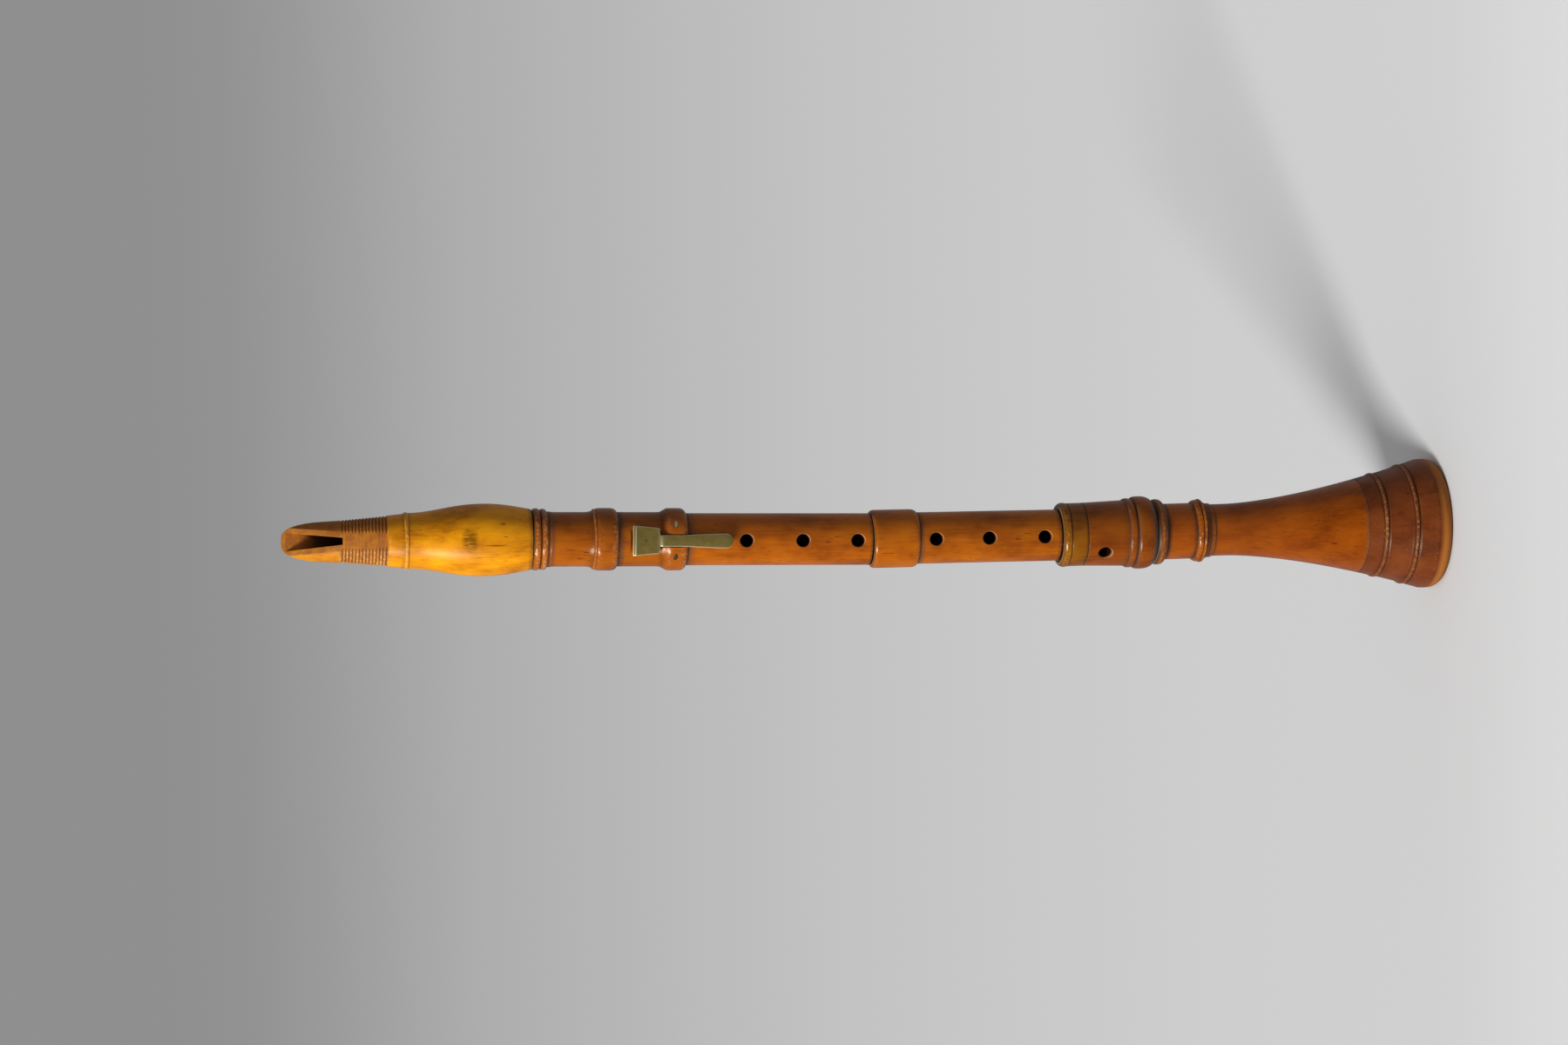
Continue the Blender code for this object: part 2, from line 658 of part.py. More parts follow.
def cut_key_seat(joint, side, angle, pin_height, touch, hole_radius, frame):
    """Pad seat, tone hole, hinge slot, spring channel and pin hole of one key."""
    seat = turned_frame(f"{side}_seat_frame", angle, pin_height, frame)
    outside = -KEY_RING_RADIUS - OVERCUT
    half = KEY_RING_LENGTH / 2
    slot = slot_half_width()
    slot_floor = -(KEY_PIN_DEPTH - KEY_BOSS_DEPTH - KEY_SLOT_DEPTH)
    channel = SPRING_WIDTH / 2 + KEY_SLOT_CLEARANCE
    spring_end = SPRING_OFFSET + SPRING_LENGTH + OVERCUT
    flat_start = FLAP_OFFSET - PAD_SEAT_MARGIN
    flat_end = FLAP_OFFSET + FLAP_LENGTH + PAD_SEAT_MARGIN
    tools = {
        "pad_seat": ((-KEY_RING_RADIUS, outside, flat_start), (KEY_RING_RADIUS, -PAD_SEAT_DEPTH, flat_end)),
        "hinge_slot": ((-slot, outside, -half - OVERCUT), (slot, slot_floor, half + OVERCUT)),
        "spring_channel": ((-channel, outside, -spring_end), (channel, -SPRING_CHANNEL_DEPTH, -half + OVERCUT)),
    }
    for label, (low, high) in tools.items():
        tool = block(f"{side}_{label}_cutter", low, high, STAINED_BOXWOOD, seat)
        boolean(joint, tool, "DIFFERENCE")
    pin_end = KEY_RING_RADIUS + OVERCUT
    pin_tool = rod(
        f"{side}_pin_drill",
        (-pin_end, -KEY_PIN_DEPTH, 0),
        (pin_end, -KEY_PIN_DEPTH, 0),
        KEY_PIN_RADIUS + FIT_GAP,
        WIRE_STEPS,
        STAINED_BOXWOOD,
        seat,
    )
    boolean(joint, pin_tool, "DIFFERENCE")
    flap_middle = FLAP_OFFSET + FLAP_LENGTH / 2
    drill(
        joint,
        f"{side}_tone_hole_drill",
        FRONT,
        flap_middle,
        hole_radius,
        BORE_RADIUS / 2,
        KEY_RING_RADIUS,
        STAINED_BOXWOOD,
        seat,
    )


def cut_guide_slot(joint, frame):
    """Slot in the back of the lower ring, where the long speaker key dips when pressed."""
    seat = turned_frame("guide_slot_frame", BACK, front_pin_height(), frame)
    half, slot = KEY_RING_LENGTH / 2, TOUCH_WIDTH / 2 + KEY_SLOT_CLEARANCE
    low = (-slot, -KEY_RING_RADIUS - OVERCUT, -half - OVERCUT)
    high = (slot, KEY_SLOT_DEPTH - UPPER_TUBE_RADIUS, half + OVERCUT)
    tool = block("guide_slot_cutter", low, high, STAINED_BOXWOOD, seat)
    boolean(joint, tool, "DIFFERENCE")


# Mouthpiece and barrel in one piece


def mouthpiece_heights():
    """Heights of the mouthpiece's stages above the barrel's end."""
    barrel_top = BARREL_LOWER_LENGTH + BARREL_UPPER_LENGTH
    bead_top = barrel_top + MOUTHPIECE_BEAD_WIDTH
    table = bead_top + CONE_COLLAR_LENGTH
    grooves_top = table + STRING_GROOVES * STRING_GROOVE_PITCH
    tip = grooves_top + BEAK_LENGTH
    return barrel_top, bead_top, table, grooves_top, tip


def window_heights():
    """Lower and upper end of the window."""
    high = mouthpiece_heights()[4] - TIP_RAIL
    return high - WINDOW_LENGTH, high


def lay_depth(height):
    """Distance of the lay in front of the axis: a flat table, then a curve away to the tip."""
    table, tip = mouthpiece_heights()[2], mouthpiece_heights()[4]
    curve_low = window_heights()[0]
    share = max(0.0, height - curve_low) / (tip - curve_low)
    flat = LAY_DEPTH - (height - table) * math.tan(math.radians(LAY_SLOPE_DEG))
    return flat - FACING_CURVE * share**2


def beak_depth(height):
    """Distance of the sloping beak behind the axis; negative near the tip."""
    tip = mouthpiece_heights()[4]
    rise = (tip - height) * math.tan(math.radians(BEAK_SLOPE_DEG))
    return TIP_THICKNESS - lay_depth(tip) + rise


def make_mouthpiece(frame):
    barrel_top, bead_top, table, grooves_top, tip = mouthpiece_heights()
    socket = socket_radius(TOP_TENON_LENGTH, MOUTHPIECE_LEAN_DEG)
    socket_end = TOP_TENON_LENGTH + SOCKET_END_GAP
    throat_low = window_heights()[0] - THROAT_LENGTH
    widest = (BARREL_RADIUS, BARREL_LOWER_LENGTH)
    profile = [(0, throat_low), (BORE_RADIUS, throat_low), (BORE_RADIUS, socket_end)]
    profile += [(socket, socket_end), (socket, 0), (BARREL_END_RADIUS, 0)]
    profile += ramp((BARREL_END_RADIUS, 0), widest, "rise", 6)
    profile += ramp(widest, (BARREL_NECK_RADIUS, barrel_top), "ogee", 6)
    profile += bead(BARREL_NECK_RADIUS, MOUTHPIECE_BEAD_RADIUS, barrel_top, bead_top, 4)[1:-1]
    profile += [(BARREL_NECK_RADIUS, bead_top), (CONE_COLLAR_RADIUS, table)]
    for i in range(STRING_GROOVES):
        share = i / STRING_GROOVES
        radius = CONE_LOW_RADIUS + (CONE_HIGH_RADIUS - CONE_LOW_RADIUS) * share
        low = table + i * STRING_GROOVE_PITCH
        profile.append((radius - STRING_GROOVE_DEPTH, low + STRING_GROOVE_PITCH / 4))
        profile.append((radius, low + STRING_GROOVE_PITCH * 3 / 4))
    profile += [(CONE_HIGH_RADIUS, grooves_top), (BEAK_END_RADIUS, tip), (0, tip)]
    piece = turned("mouthpiece_barrel", profile, PALE_BOXWOOD, frame, closed=False)
    boolean(piece, lay_cutter(frame), "DIFFERENCE")
    boolean(piece, beak_cutter(frame), "DIFFERENCE")
    boolean(piece, tip_outline(frame), "INTERSECT")
    boolean(piece, window_cutter(frame), "DIFFERENCE")
    boolean(piece, throat_cutter(frame), "DIFFERENCE")
    return piece


def across(half, front, back, height):
    """Corners of a flat section at one height, between a front and a back depth."""
    return [(-half, front, height), (half, front, height), (half, back, height), (-half, back, height)]


def lay_cutter(frame):
    """Everything in front of the lay, from the table's end to the tip."""
    table, tip = mouthpiece_heights()[2], mouthpiece_heights()[4] + OVERCUT
    curve_low = window_heights()[0]
    wide, outside = BARREL_RADIUS, -BARREL_RADIUS
    steps = 5
    heights = [table] + [curve_low + (tip - curve_low) * i / steps for i in range(steps + 1)]
    stations = [across(wide, outside, -lay_depth(height), height) for height in heights]
    return loft("lay_cutter", stations, PALE_BOXWOOD, frame)


def beak_cutter(frame):
    """Everything behind the beak's slope."""
    tip = mouthpiece_heights()[4] + OVERCUT
    low = tip - BARREL_RADIUS / math.tan(math.radians(BEAK_SLOPE_DEG))
    wide, outside = BARREL_RADIUS, 2 * BARREL_RADIUS
    stations = [across(wide, beak_depth(height), outside, height) for height in (low, tip)]
    return loft("beak_cutter", stations, PALE_BOXWOOD, frame)


def tip_outline(frame):
    """The mouthpiece seen from the front: straight sides and a rounded tip."""
    tip = mouthpiece_heights()[4]
    depth = BARREL_RADIUS + OVERCUT
    round_low = tip - TIP_ROUND_LENGTH
    below = round_low - OVERCUT
    steps = 8
    stations = [across(depth, -depth, depth, -OVERCUT), across(depth, -depth, depth, below)]
    for i in range(steps):
        share = i / steps
        half = TIP_ROUND_HALF_WIDTH * (1 - share**TIP_ROUND_POWER) ** (1 / TIP_ROUND_POWER)
        stations.append(across(half, -depth, depth, round_low + TIP_ROUND_LENGTH * share))
    stations.append(across(TIP_ROUND_HALF_WIDTH / 4, -depth, depth, tip + OVERCUT / 10))
    return loft("tip_outline", stations, PALE_BOXWOOD, frame)


def baffle_depth(height):
    """The slope inside the window, one wall in front of the beak."""
    return beak_depth(height) - BEAK_WALL / math.cos(math.radians(BEAK_SLOPE_DEG))


def window_cutter(frame):
    """The window, widening to the tip, with the baffle as its floor."""
    low, high = window_heights()
    outside = -BARREL_RADIUS
    stations = [
        across(WINDOW_LOW_WIDTH / 2, outside, baffle_depth(low), low),
        across(WINDOW_HIGH_WIDTH / 2, outside, baffle_depth(high), high),
    ]
    return loft("window_cutter", stations, PALE_BOXWOOD, frame)


def throat_cutter(frame):
    """The slot under the table that joins the window to the bore."""
    high = window_heights()[0] + OVERCUT
    low = high - THROAT_LENGTH - 2 * OVERCUT
    front = TABLE_WALL - lay_depth(high)
    half = WINDOW_LOW_WIDTH / 2
    stations = [
        across(half, front, min(baffle_depth(low), BORE_RADIUS - OVERCUT), low),
        across(half, front, baffle_depth(high), high),
    ]
    return loft("throat_cutter", stations, PALE_BOXWOOD, frame)


# Thread lappings


def make_lapping(name, base, length, up, frame):
    """Waxed thread wound in the groove of a tenon."""
    way = 1 if up else -1
    first = base + way * (LAPPING_SHOULDER_LAND + FIT_GAP)
    last = base + way * (length - LAPPING_END_LAND - FIT_GAP)
    inner = TENON_RADIUS - LAPPING_GROOVE_DEPTH + FIT_GAP
    outer = TENON_RADIUS + LAPPING_PROUD
    profile = [(inner, first), (outer, first), (outer, last), (inner, last)]
    return turned(name, profile, WAXED_THREAD, frame)


# Keys


def key_lever(name, touch_length, touch_rise, key):
    """Flap, hinge boss and touch in one strip, seen along its length from the flap's end."""
    flap_under = PAD_SEAT_DEPTH + RUNNING_GAP + PAD_THICKNESS + FIT_GAP - KEY_PIN_DEPTH
    flap_over = flap_under + KEY_THICKNESS
    flap_end, flap_low = FLAP_OFFSET + FLAP_LENGTH, FLAP_OFFSET
    boss = KEY_BOSS_LENGTH / 2
    bridge = KEY_BRIDGE_HEIGHT - KEY_THICKNESS
    neck, touch_half = KEY_WIDTH / 2, TOUCH_WIDTH / 2
    rise = (touch_rise - KEY_BRIDGE_HEIGHT) / (touch_length - boss)
    stations = [
        (flap_end, flap_under, flap_over, FLAP_WIDTH / 2),
        (flap_low, flap_under, flap_over, FLAP_INNER_WIDTH / 2),
        (flap_low - KEY_THICKNESS / 4, flap_under, flap_over, neck),
        (flap_low - KEY_THICKNESS, bridge, KEY_BRIDGE_HEIGHT, neck),
        (boss, -KEY_BOSS_DEPTH, KEY_BRIDGE_HEIGHT, neck),
        (-boss, -KEY_BOSS_DEPTH, KEY_BRIDGE_HEIGHT, neck),
        (-boss - KEY_THICKNESS, bridge, KEY_BRIDGE_HEIGHT, neck),
    ]
    round_steps = 4
    for i in range(round_steps + 1):
        angle = math.pi / 2 * i / round_steps
        along = touch_length - touch_half * (1 - math.sin(angle))
        half = max(touch_half * math.cos(angle), TOUCH_END_WIDTH / 2)
        over = KEY_BRIDGE_HEIGHT + rise * (along - boss)
        stations.append((-along, over - KEY_THICKNESS, over, half))
    sections = []
    for along, under, over, half in stations:
        sections.append(across(half, -over, -under, along))
    lever = loft(name, sections, AGED_BRASS, key)
    pin_tool = rod(
        f"{name}_pin_drill",
        (-KEY_WIDTH, 0, 0),
        (KEY_WIDTH, 0, 0),
        KEY_PIN_RADIUS + RUNNING_GAP,
        WIRE_STEPS,
        AGED_BRASS,
        key,
    )
    boolean(lever, pin_tool, "DIFFERENCE")
    return lever


def touch_under(along, touch_length, touch_rise):
    """Underside of the touch at a distance from the hinge."""
    boss = KEY_BOSS_LENGTH / 2
    rise = (touch_rise - KEY_BRIDGE_HEIGHT) / (touch_length - boss)
    return KEY_BRIDGE_HEIGHT + rise * (along - boss) - KEY_THICKNESS


def make_key(side, title, angle, pin_height, touch_length, touch_rise, frame):
    """One key with its pin, pad, spring and rivet, on an empty at the hinge."""
    key = add_frame(f"{side}_key_frame", frame, pin_height, turn_deg=math.degrees(angle))
    key.location = Matrix.Rotation(angle, 4, "Z") @ Vector((0, -KEY_PIN_DEPTH, pin_height))
    lever = key_lever(title, touch_length, touch_rise, key)
    make_key_pin(f"{title}_pin", key)
    make_key_pad(f"{title}_pad", key)
    rivet_along = SPRING_OFFSET + RIVET_OFFSET
    spring_top = touch_under(SPRING_OFFSET, touch_length, touch_rise) - FIT_GAP
    spring = make_key_spring(f"{title}_spring", spring_top, key)
    head_top = spring_top - SPRING_THICKNESS - FIT_GAP
    rivet_top = touch_under(rivet_along, touch_length, touch_rise) + KEY_THICKNESS - FIT_GAP
    make_spring_rivet(f"{title}_spring_rivet", rivet_along, head_top, rivet_top, (lever, spring), key)


def make_key_pin(name, key):
    reach = math.sqrt(KEY_RING_RADIUS**2 - KEY_PIN_DEPTH**2) - FIT_GAP
    rod(name, (-reach, 0, 0), (reach, 0, 0), KEY_PIN_RADIUS, WIRE_STEPS, AGED_BRASS, key)


def make_key_pad(name, key):
    seat = KEY_PIN_DEPTH - PAD_SEAT_DEPTH - RUNNING_GAP
    middle, half = FLAP_OFFSET + FLAP_LENGTH / 2, PAD_SIDE / 2
    low = (-half, seat - PAD_THICKNESS, middle - half)
    pad = block(name, low, (half, seat, middle + half), KID_LEATHER, key)
    bevel = pad.modifiers.new("soft_corners", "BEVEL")
    bevel.width = PAD_THICKNESS / 3
    bevel.segments = 2
    bevel.limit_method = "ANGLE"


def make_key_spring(name, top, key):
    """A leaf that leaves the touch flat and bends down to the floor of its channel."""
    end = KEY_PIN_DEPTH - SPRING_CHANNEL_DEPTH - RUNNING_GAP
    drop = top - SPRING_THICKNESS + end
    flat = 2 * RIVET_OFFSET
    half, steps = SPRING_WIDTH / 2, 5
    sections = [across(half, -top, SPRING_THICKNESS - top, -SPRING_OFFSET)]
    for i in range(steps + 1):
        share = i / steps
        along = SPRING_OFFSET + flat + (SPRING_LENGTH - flat) * share
        over = top - drop * share**SPRING_BEND_POWER
        sections.append(across(half, -over, SPRING_THICKNESS - over, -along))
    return loft(name, sections, AGED_BRASS, key)


def make_spring_rivet(name, along, head_top, top, held, key):
    """A headed rivet through the spring and the lever."""
    profile = [
        (0, head_top - RIVET_HEAD_HEIGHT),
        (RIVET_HEAD_RADIUS, head_top - RIVET_HEAD_HEIGHT),
        (RIVET_HEAD_RADIUS, head_top),
        (RIVET_RADIUS, head_top),
        (RIVET_RADIUS, top),
        (0, top),
    ]
    bm = bmesh.new()
    verts = [bm.verts.new((radius, 0, height)) for radius, height in profile]
    edges = [bm.edges.new(pair) for pair in zip(verts, verts[1:])]
    bmesh.ops.spin(
        bm, geom=verts + edges, axis=(0, 0, 1), angle=2 * math.pi, steps=WIRE_STEPS, use_merge=True
    )
    outward = Matrix.Rotation(math.pi / 2, 4, "X")
    bm.transform(Matrix.Translation((0, 0, -along)) @ outward)
    add_object(name, bm, AGED_BRASS, key)
    for piece in held:
        start, end = (0, -head_top + OVERCUT, -along), (0, -top - OVERCUT, -along)
        hole = RIVET_RADIUS + FIT_GAP
        tool = rod(f"{name}_{piece.name}_drill", start, end, hole, WIRE_STEPS, AGED_BRASS, key)
        boolean(piece, tool, "DIFFERENCE")


def make_speaker_tube(frame):
    """Metal tube that lines the speaker hole and stands into the bore."""
    height = rear_pin_height() + FLAP_OFFSET + FLAP_LENGTH / 2
    inner, outer = BORE_RADIUS - SPEAKER_TUBE_INTO_BORE, PAD_SEAT_DEPTH - FIT_GAP
    tube = rod(
        "speaker_tube",
        (0, inner, height),
        (0, outer, height),
        SPEAKER_TUBE_RADIUS,
        HOLE_STEPS,
        AGED_BRASS,
        frame,
    )
    tool = rod(
        "speaker_tube_drill",
        (0, inner - OVERCUT, height),
        (0, outer + OVERCUT, height),
        SPEAKER_TUBE_RADIUS - SPEAKER_TUBE_WALL,
        HOLE_STEPS,
        AGED_BRASS,
        frame,
    )
    boolean(tube, tool, "DIFFERENCE")


def main():
    clear_scene()
    bell_frame = add_frame("bell_frame", None, 0)
    make_bell_rim(bell_frame)
    make_bell(bell_frame)

    foot_height = bell_top() + seat_gap(FOOT_RING_RADIUS, FOOT_LEAN_DEG)
    foot_frame = add_frame("foot_frame", bell_frame, foot_height, FOOT_LEAN_DEG)
    make_foot_joint(foot_frame)
    make_foot_collar(foot_frame)
    make_lapping("bell_tenon_lapping", 0, BELL_TENON_LENGTH, False, foot_frame)

    lower_height = foot_length() + seat_gap(LOWER_TUBE_RADIUS, LOWER_LEAN_DEG)
    lower_frame = add_frame("lower_frame", foot_frame, lower_height, LOWER_LEAN_DEG)
    make_lower_joint(lower_frame)
    make_lapping("foot_tenon_lapping", 0, FOOT_TENON_LENGTH, False, lower_frame)

    upper_height = lower_length() + seat_gap(UPPER_TUBE_RADIUS, UPPER_LEAN_DEG)
    upper_frame = add_frame("upper_frame", lower_frame, upper_height, UPPER_LEAN_DEG)
    make_upper_joint(upper_frame)
    make_lapping("middle_tenon_lapping", 0, MIDDLE_TENON_LENGTH, False, upper_frame)
    make_lapping("top_tenon_lapping", upper_length(), TOP_TENON_LENGTH, True, upper_frame)
    make_speaker_tube(upper_frame)
    make_key("front", "front_key", FRONT, front_pin_height(), FRONT_TOUCH_LENGTH, FRONT_TOUCH_RISE, upper_frame)
    make_key("rear", "speaker_key", BACK, rear_pin_height(), REAR_TOUCH_LENGTH, REAR_TOUCH_RISE, upper_frame)

    mouthpiece_height = upper_length() + seat_gap(BARREL_END_RADIUS, MOUTHPIECE_LEAN_DEG)
    mouthpiece_frame = add_frame(
        "mouthpiece_frame", upper_frame, mouthpiece_height, MOUTHPIECE_LEAN_DEG, MOUTHPIECE_TURN_DEG
    )
    make_mouthpiece(mouthpiece_frame)


main()
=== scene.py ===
"""The looks of a two-key boxwood clarinet that stands on its bell.

The file follows the instrument from the floor up: bell, foot, lower and upper joint, keys and
mouthpiece, then the floor, the light and the camera. Sizes are in millimetres, measured in each
section's own frame: Z up its bore and -Y to the front, where the finger holes are.
"""

import json
import math
from collections import namedtuple

import bpy
import numpy as np
from mathutils import Matrix, Vector


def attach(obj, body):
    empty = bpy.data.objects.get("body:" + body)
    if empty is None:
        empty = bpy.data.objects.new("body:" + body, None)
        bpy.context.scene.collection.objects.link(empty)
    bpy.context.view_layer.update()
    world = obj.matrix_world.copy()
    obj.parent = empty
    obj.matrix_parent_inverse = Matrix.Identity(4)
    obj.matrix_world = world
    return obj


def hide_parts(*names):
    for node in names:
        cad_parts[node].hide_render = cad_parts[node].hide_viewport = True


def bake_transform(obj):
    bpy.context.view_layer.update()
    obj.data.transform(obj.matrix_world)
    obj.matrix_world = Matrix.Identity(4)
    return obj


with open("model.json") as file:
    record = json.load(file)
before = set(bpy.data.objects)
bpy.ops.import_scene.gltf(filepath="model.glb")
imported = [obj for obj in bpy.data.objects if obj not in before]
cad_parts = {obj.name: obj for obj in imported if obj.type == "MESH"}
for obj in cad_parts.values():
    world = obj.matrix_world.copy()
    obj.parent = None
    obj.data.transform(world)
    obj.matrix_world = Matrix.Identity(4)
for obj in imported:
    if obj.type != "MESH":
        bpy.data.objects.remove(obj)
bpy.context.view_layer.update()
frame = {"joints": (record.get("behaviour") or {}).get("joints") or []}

# Bell rim
# A ring of red-stained wood that widens the bell, turned by itself and glued on a spigot.
# Two beads with a quirk at each side run round it, and its edge on the floor is worn pale.

MM = 0.001
FINE = 0.05
LONGEST_FACET = 2.5
FACET_TURN = math.radians(9)
TURN_STEPS = 144
EVERYWHERE = (-1000, 1000)
LATHE_SKIN = 0.6
FLAT_SKIN = 0.06
WORN_FROM = 0.03
WORN_OVER = 0.3
GRIMY_OVER = 0.35
SEAM_HALF = 0.35

BELL_PLACE = Matrix.Identity(4)
RIM_HEIGHT = 38.8
RIM_RADIUS = 30.4
RIM_FACE = (24.6, 27.0)
RIM_ROUND = 4.2
RIM_EDGE = 7.5
RIM_PALE_LINE = 5.7
RIM_BEADS = (16.6, 30.2)
RIM_BEAD_REACH = 2.2
RIM_BEAD_HALF = 0.85
RIM_BEAD_RISE = 0.5
RIM_QUIRK = (0.8, 0.3)
RIM_WAIST = 0.15
RIM_SPIGOT = 4.0
FLARE_TOP = 101.5
FLARE_POWER = 1.55
NECK_RADIUS = 12.1
BELL_SOCKET_END = 118.6
BORE_RADIUS = 6.6
BELL_BORE_POWER = 1.35
GLUE_GAP = 0.15
DIRT = (0.022, 0.012, 0.007)
# Colour of the painted highlight on the rounded edges of holes and slots.
PAINTED_EDGE_HIGHLIGHT = (0.62, 0.46, 0.28)
# Colour of the painted shade deep below the wood's outside, in the bore, the holes and the window.
PAINTED_BORE_SHADE = (0.020, 0.010, 0.005)
SHEEN = (1.0, 0.86, 0.62, 1)


def averaged(values, softness):
    """Values FINE apart, each the mean of its neighbours under a bell curve of that width."""
    reach = int(4 * softness / FINE)
    weight = np.exp(-0.5 * (np.arange(-reach, reach + 1) * FINE / softness) ** 2)
    return np.convolve(np.pad(values, reach, "edge"), weight / weight.sum(), "valid")


def evenly(outline, spacing):
    """Points at that spacing along the straight runs between an outline's points."""
    run = np.concatenate([[0], np.cumsum(np.hypot(*np.diff(outline, axis=0).T))])
    at = np.arange(0, run[-1], spacing)
    return np.column_stack([np.interp(at, run, outline[:, k]) for k in (0, 1)])


def worn_outline(*runs, softness=0.12, closed=True):
    """A turned outline of (radius, height) points, run after run, with its corners softened by use.

    Points FINE apart are averaged under a bell curve, mirrored at the axis where the outline is
    open, and then thinned to one for each LONGEST_FACET and one for each FACET_TURN.
    """
    corners = np.vstack(runs).astype(float)
    fine = evenly(np.vstack([corners, corners[:1]]) if closed else corners, FINE)
    reach = int(4 * softness / FINE)
    if closed:
        before, after = fine[-reach:], fine[:reach]
    else:
        before, after = fine[reach:0:-1] * (-1, 1), fine[-2 : -reach - 2 : -1] * (-1, 1)
    padded = np.vstack([before, fine, after])
    fine = np.column_stack([averaged(padded[:, k], softness)[reach:-reach] for k in (0, 1)])
    if closed:
        fine = np.vstack([fine, fine[:1]])
    step = np.diff(fine, axis=0)
    turn = np.abs(np.diff(np.unwrap(np.arctan2(step[:, 1], step[:, 0])), append=0))
    turn[-1] = 0
    pace = np.concatenate([[0], np.cumsum(np.hypot(*step.T) / LONGEST_FACET + turn / FACET_TURN)])
    picks = np.linspace(0, pace[-1], int(pace[-1]) + 2)
    points = np.column_stack([np.interp(picks, pace, fine[:, k]) for k in (0, 1)])
    if closed:
        return points[:-1]
    points[[0, -1], 0] = 0
    return points


def outer_radius(outline, seen=EVERYWHERE):
    """The widest radius of an outline at each height seen, FINE apart, and how far it stands proud."""
    fine = evenly(np.vstack([outline, outline[:1]]), FINE / 4)
    low = outline[:, 1].min()
    rung = np.round((fine[:, 1] - low) / FINE).astype(int)
    widest = np.zeros(rung.max() + 1)
    np.maximum.at(widest, rung, fine[:, 0])
    height = low + FINE * np.arange(len(widest))
    shown = (height >= seen[0] + 0.1) & (height <= seen[1] - 0.1)
    height, widest = height[shown], widest[shown]
    return height, widest, widest - averaged(widest, 1.1)


def hump(values, middle, half, power=2):
    """A bell curve: 1 at the middle and almost nothing beyond twice the half width."""
    return np.exp(-(((values - middle) / half) ** power))


def chipped(angle, height):
    """Sparse patches between 0 and 1: crossed waves round and along the wood, cut off below a level."""
    waves = np.sin(5 * angle + 1.3) * np.sin(11 * angle + 0.4 + 0.9 * height)
    waves = waves + 0.7 * np.sin(23 * angle - 1.7 * height) * np.sin(3 * angle + 0.31 * height)
    waves = waves + 0.4 * np.sin(47 * angle + 4.1 * height)
    return np.clip((waves - 0.75) / 0.5, 0, 1)


def placed(name, data):
    """A new object in the scene."""
    made = bpy.data.objects.new(name, data)
    bpy.context.scene.collection.objects.link(made)
    return made


def skin(name, grid, place, closed=False):
    """A mesh over a grid of points in millimetres: columns wrap round, and rows too where closed."""
    rows, columns, _ = grid.shape
    index = np.arange(rows * columns).reshape(rows, columns)
    index = np.vstack([index, index[:1]]) if closed else index
    index = np.hstack([index, index[:, :1]])
    faces = np.stack([index[:-1, :-1], index[:-1, 1:], index[1:, 1:], index[1:, :-1]], axis=-1)
    matrix = np.array(place)
    points = grid.reshape(-1, 3) * MM @ matrix[:3, :3].T + matrix[:3, 3]
    mesh = bpy.data.meshes.new(name)
    mesh.from_pydata(points, [], faces.reshape(-1, 4))
    return placed(name, mesh)


def round_angles(steps):
    """Equal steps round a circle."""
    return np.linspace(0, 2 * np.pi, steps, endpoint=False)


def round_grid(radius, angle, level):
    """Points (r cos a, r sin a, z): one row for each level."""
    return np.stack([radius * np.cos(angle), radius * np.sin(angle), level + 0 * angle], axis=-1)


def turned(name, outline, place, seen=EVERYWHERE, chips=0.0, closed=True, steps=TURN_STEPS):
    """Wood on the lathe: the outline carried round the axis. Crests are chipped at the heights seen."""
    angle = round_angles(steps)
    radius, level = outline[:, :1], outline[:, 1:]
    height, widest, proud = outer_radius(outline, seen)
    outside = radius > np.interp(level, height, widest) - 0.2
    crest = np.clip(np.interp(level, height, proud) / WORN_OVER, 0, 1) * outside
    radius = radius - chips * crest * chipped(angle, level)
    return skin(name, round_grid(radius, angle, level), place, closed)


def local_points(piece, place):
    """The mesh's points in a section's own frame, in millimetres."""
    points = np.empty(3 * len(piece.data.vertices), np.float32)
    piece.data.vertices.foreach_get("co", points)
    matrix = np.array(place.inverted())
    return (points.reshape(-1, 3) @ matrix[:3, :3].T + matrix[:3, 3]) / MM


def note(piece, **marks):
    """Keeps a number for each point, for the material to read by name."""
    for name, values in marks.items():
        attribute = piece.data.attributes.new(name, "FLOAT", "POINT")
        attribute.data.foreach_set("value", np.asarray(values, np.float32))


def nowhere(points):
    """No mark at any point."""
    return np.zeros(len(points))


def banded(*rows):
    """Bands round the wood, as a function of points: each row is a height, a half width, a strength and
    the power of its bell curve."""
    return lambda points: sum(
        strength * hump(points[:, 2], height, half, power) for height, half, strength, power in rows
    )


def smooth(piece, sharp_angle=32):
    """Shades the piece smooth, with edges over that angle left sharp."""
    piece.data.shade_smooth()
    piece.data.set_sharp_from_angle(angle=math.radians(sharp_angle))


def node(tree, kind, settings=None, **inputs):
    """A shader node with its settings; an input is a value, or the socket it is linked to."""
    made = tree.nodes.new("ShaderNode" + kind)
    for name, value in (settings or {}).items():
        setattr(made, name, value)
    for name, value in inputs.items():
        socket = made.inputs[int(name[1:]) if name[1:].isdigit() else name.replace("_", " ")]
        if isinstance(value, bpy.types.NodeSocket):
            tree.links.new(value, socket)
        else:
            socket.default_value = value
    return made


def maths(tree, operation, first, second=0.5, third=0.0):
    """One sum on one or more numbers."""
    return node(tree, "Math", {"operation": operation}, _0=first, _1=second, _2=third).outputs[0]


def summed(tree, total, *terms):
    """A number plus others, each times its weight."""
    for value, weight in terms:
        total = maths(tree, "MULTIPLY_ADD", value, weight, total)
    return total


def ranged(tree, value, low, high, to_low=0.0, to_high=1.0):
    """A number between low and high, eased to another range and held at its ends."""
    ends = {"From_Min": low, "From_Max": high, "To_Min": to_low, "To_Max": to_high}
    return node(tree, "MapRange", {"interpolation_type": "SMOOTHSTEP"}, Value=value, **ends).outputs[0]


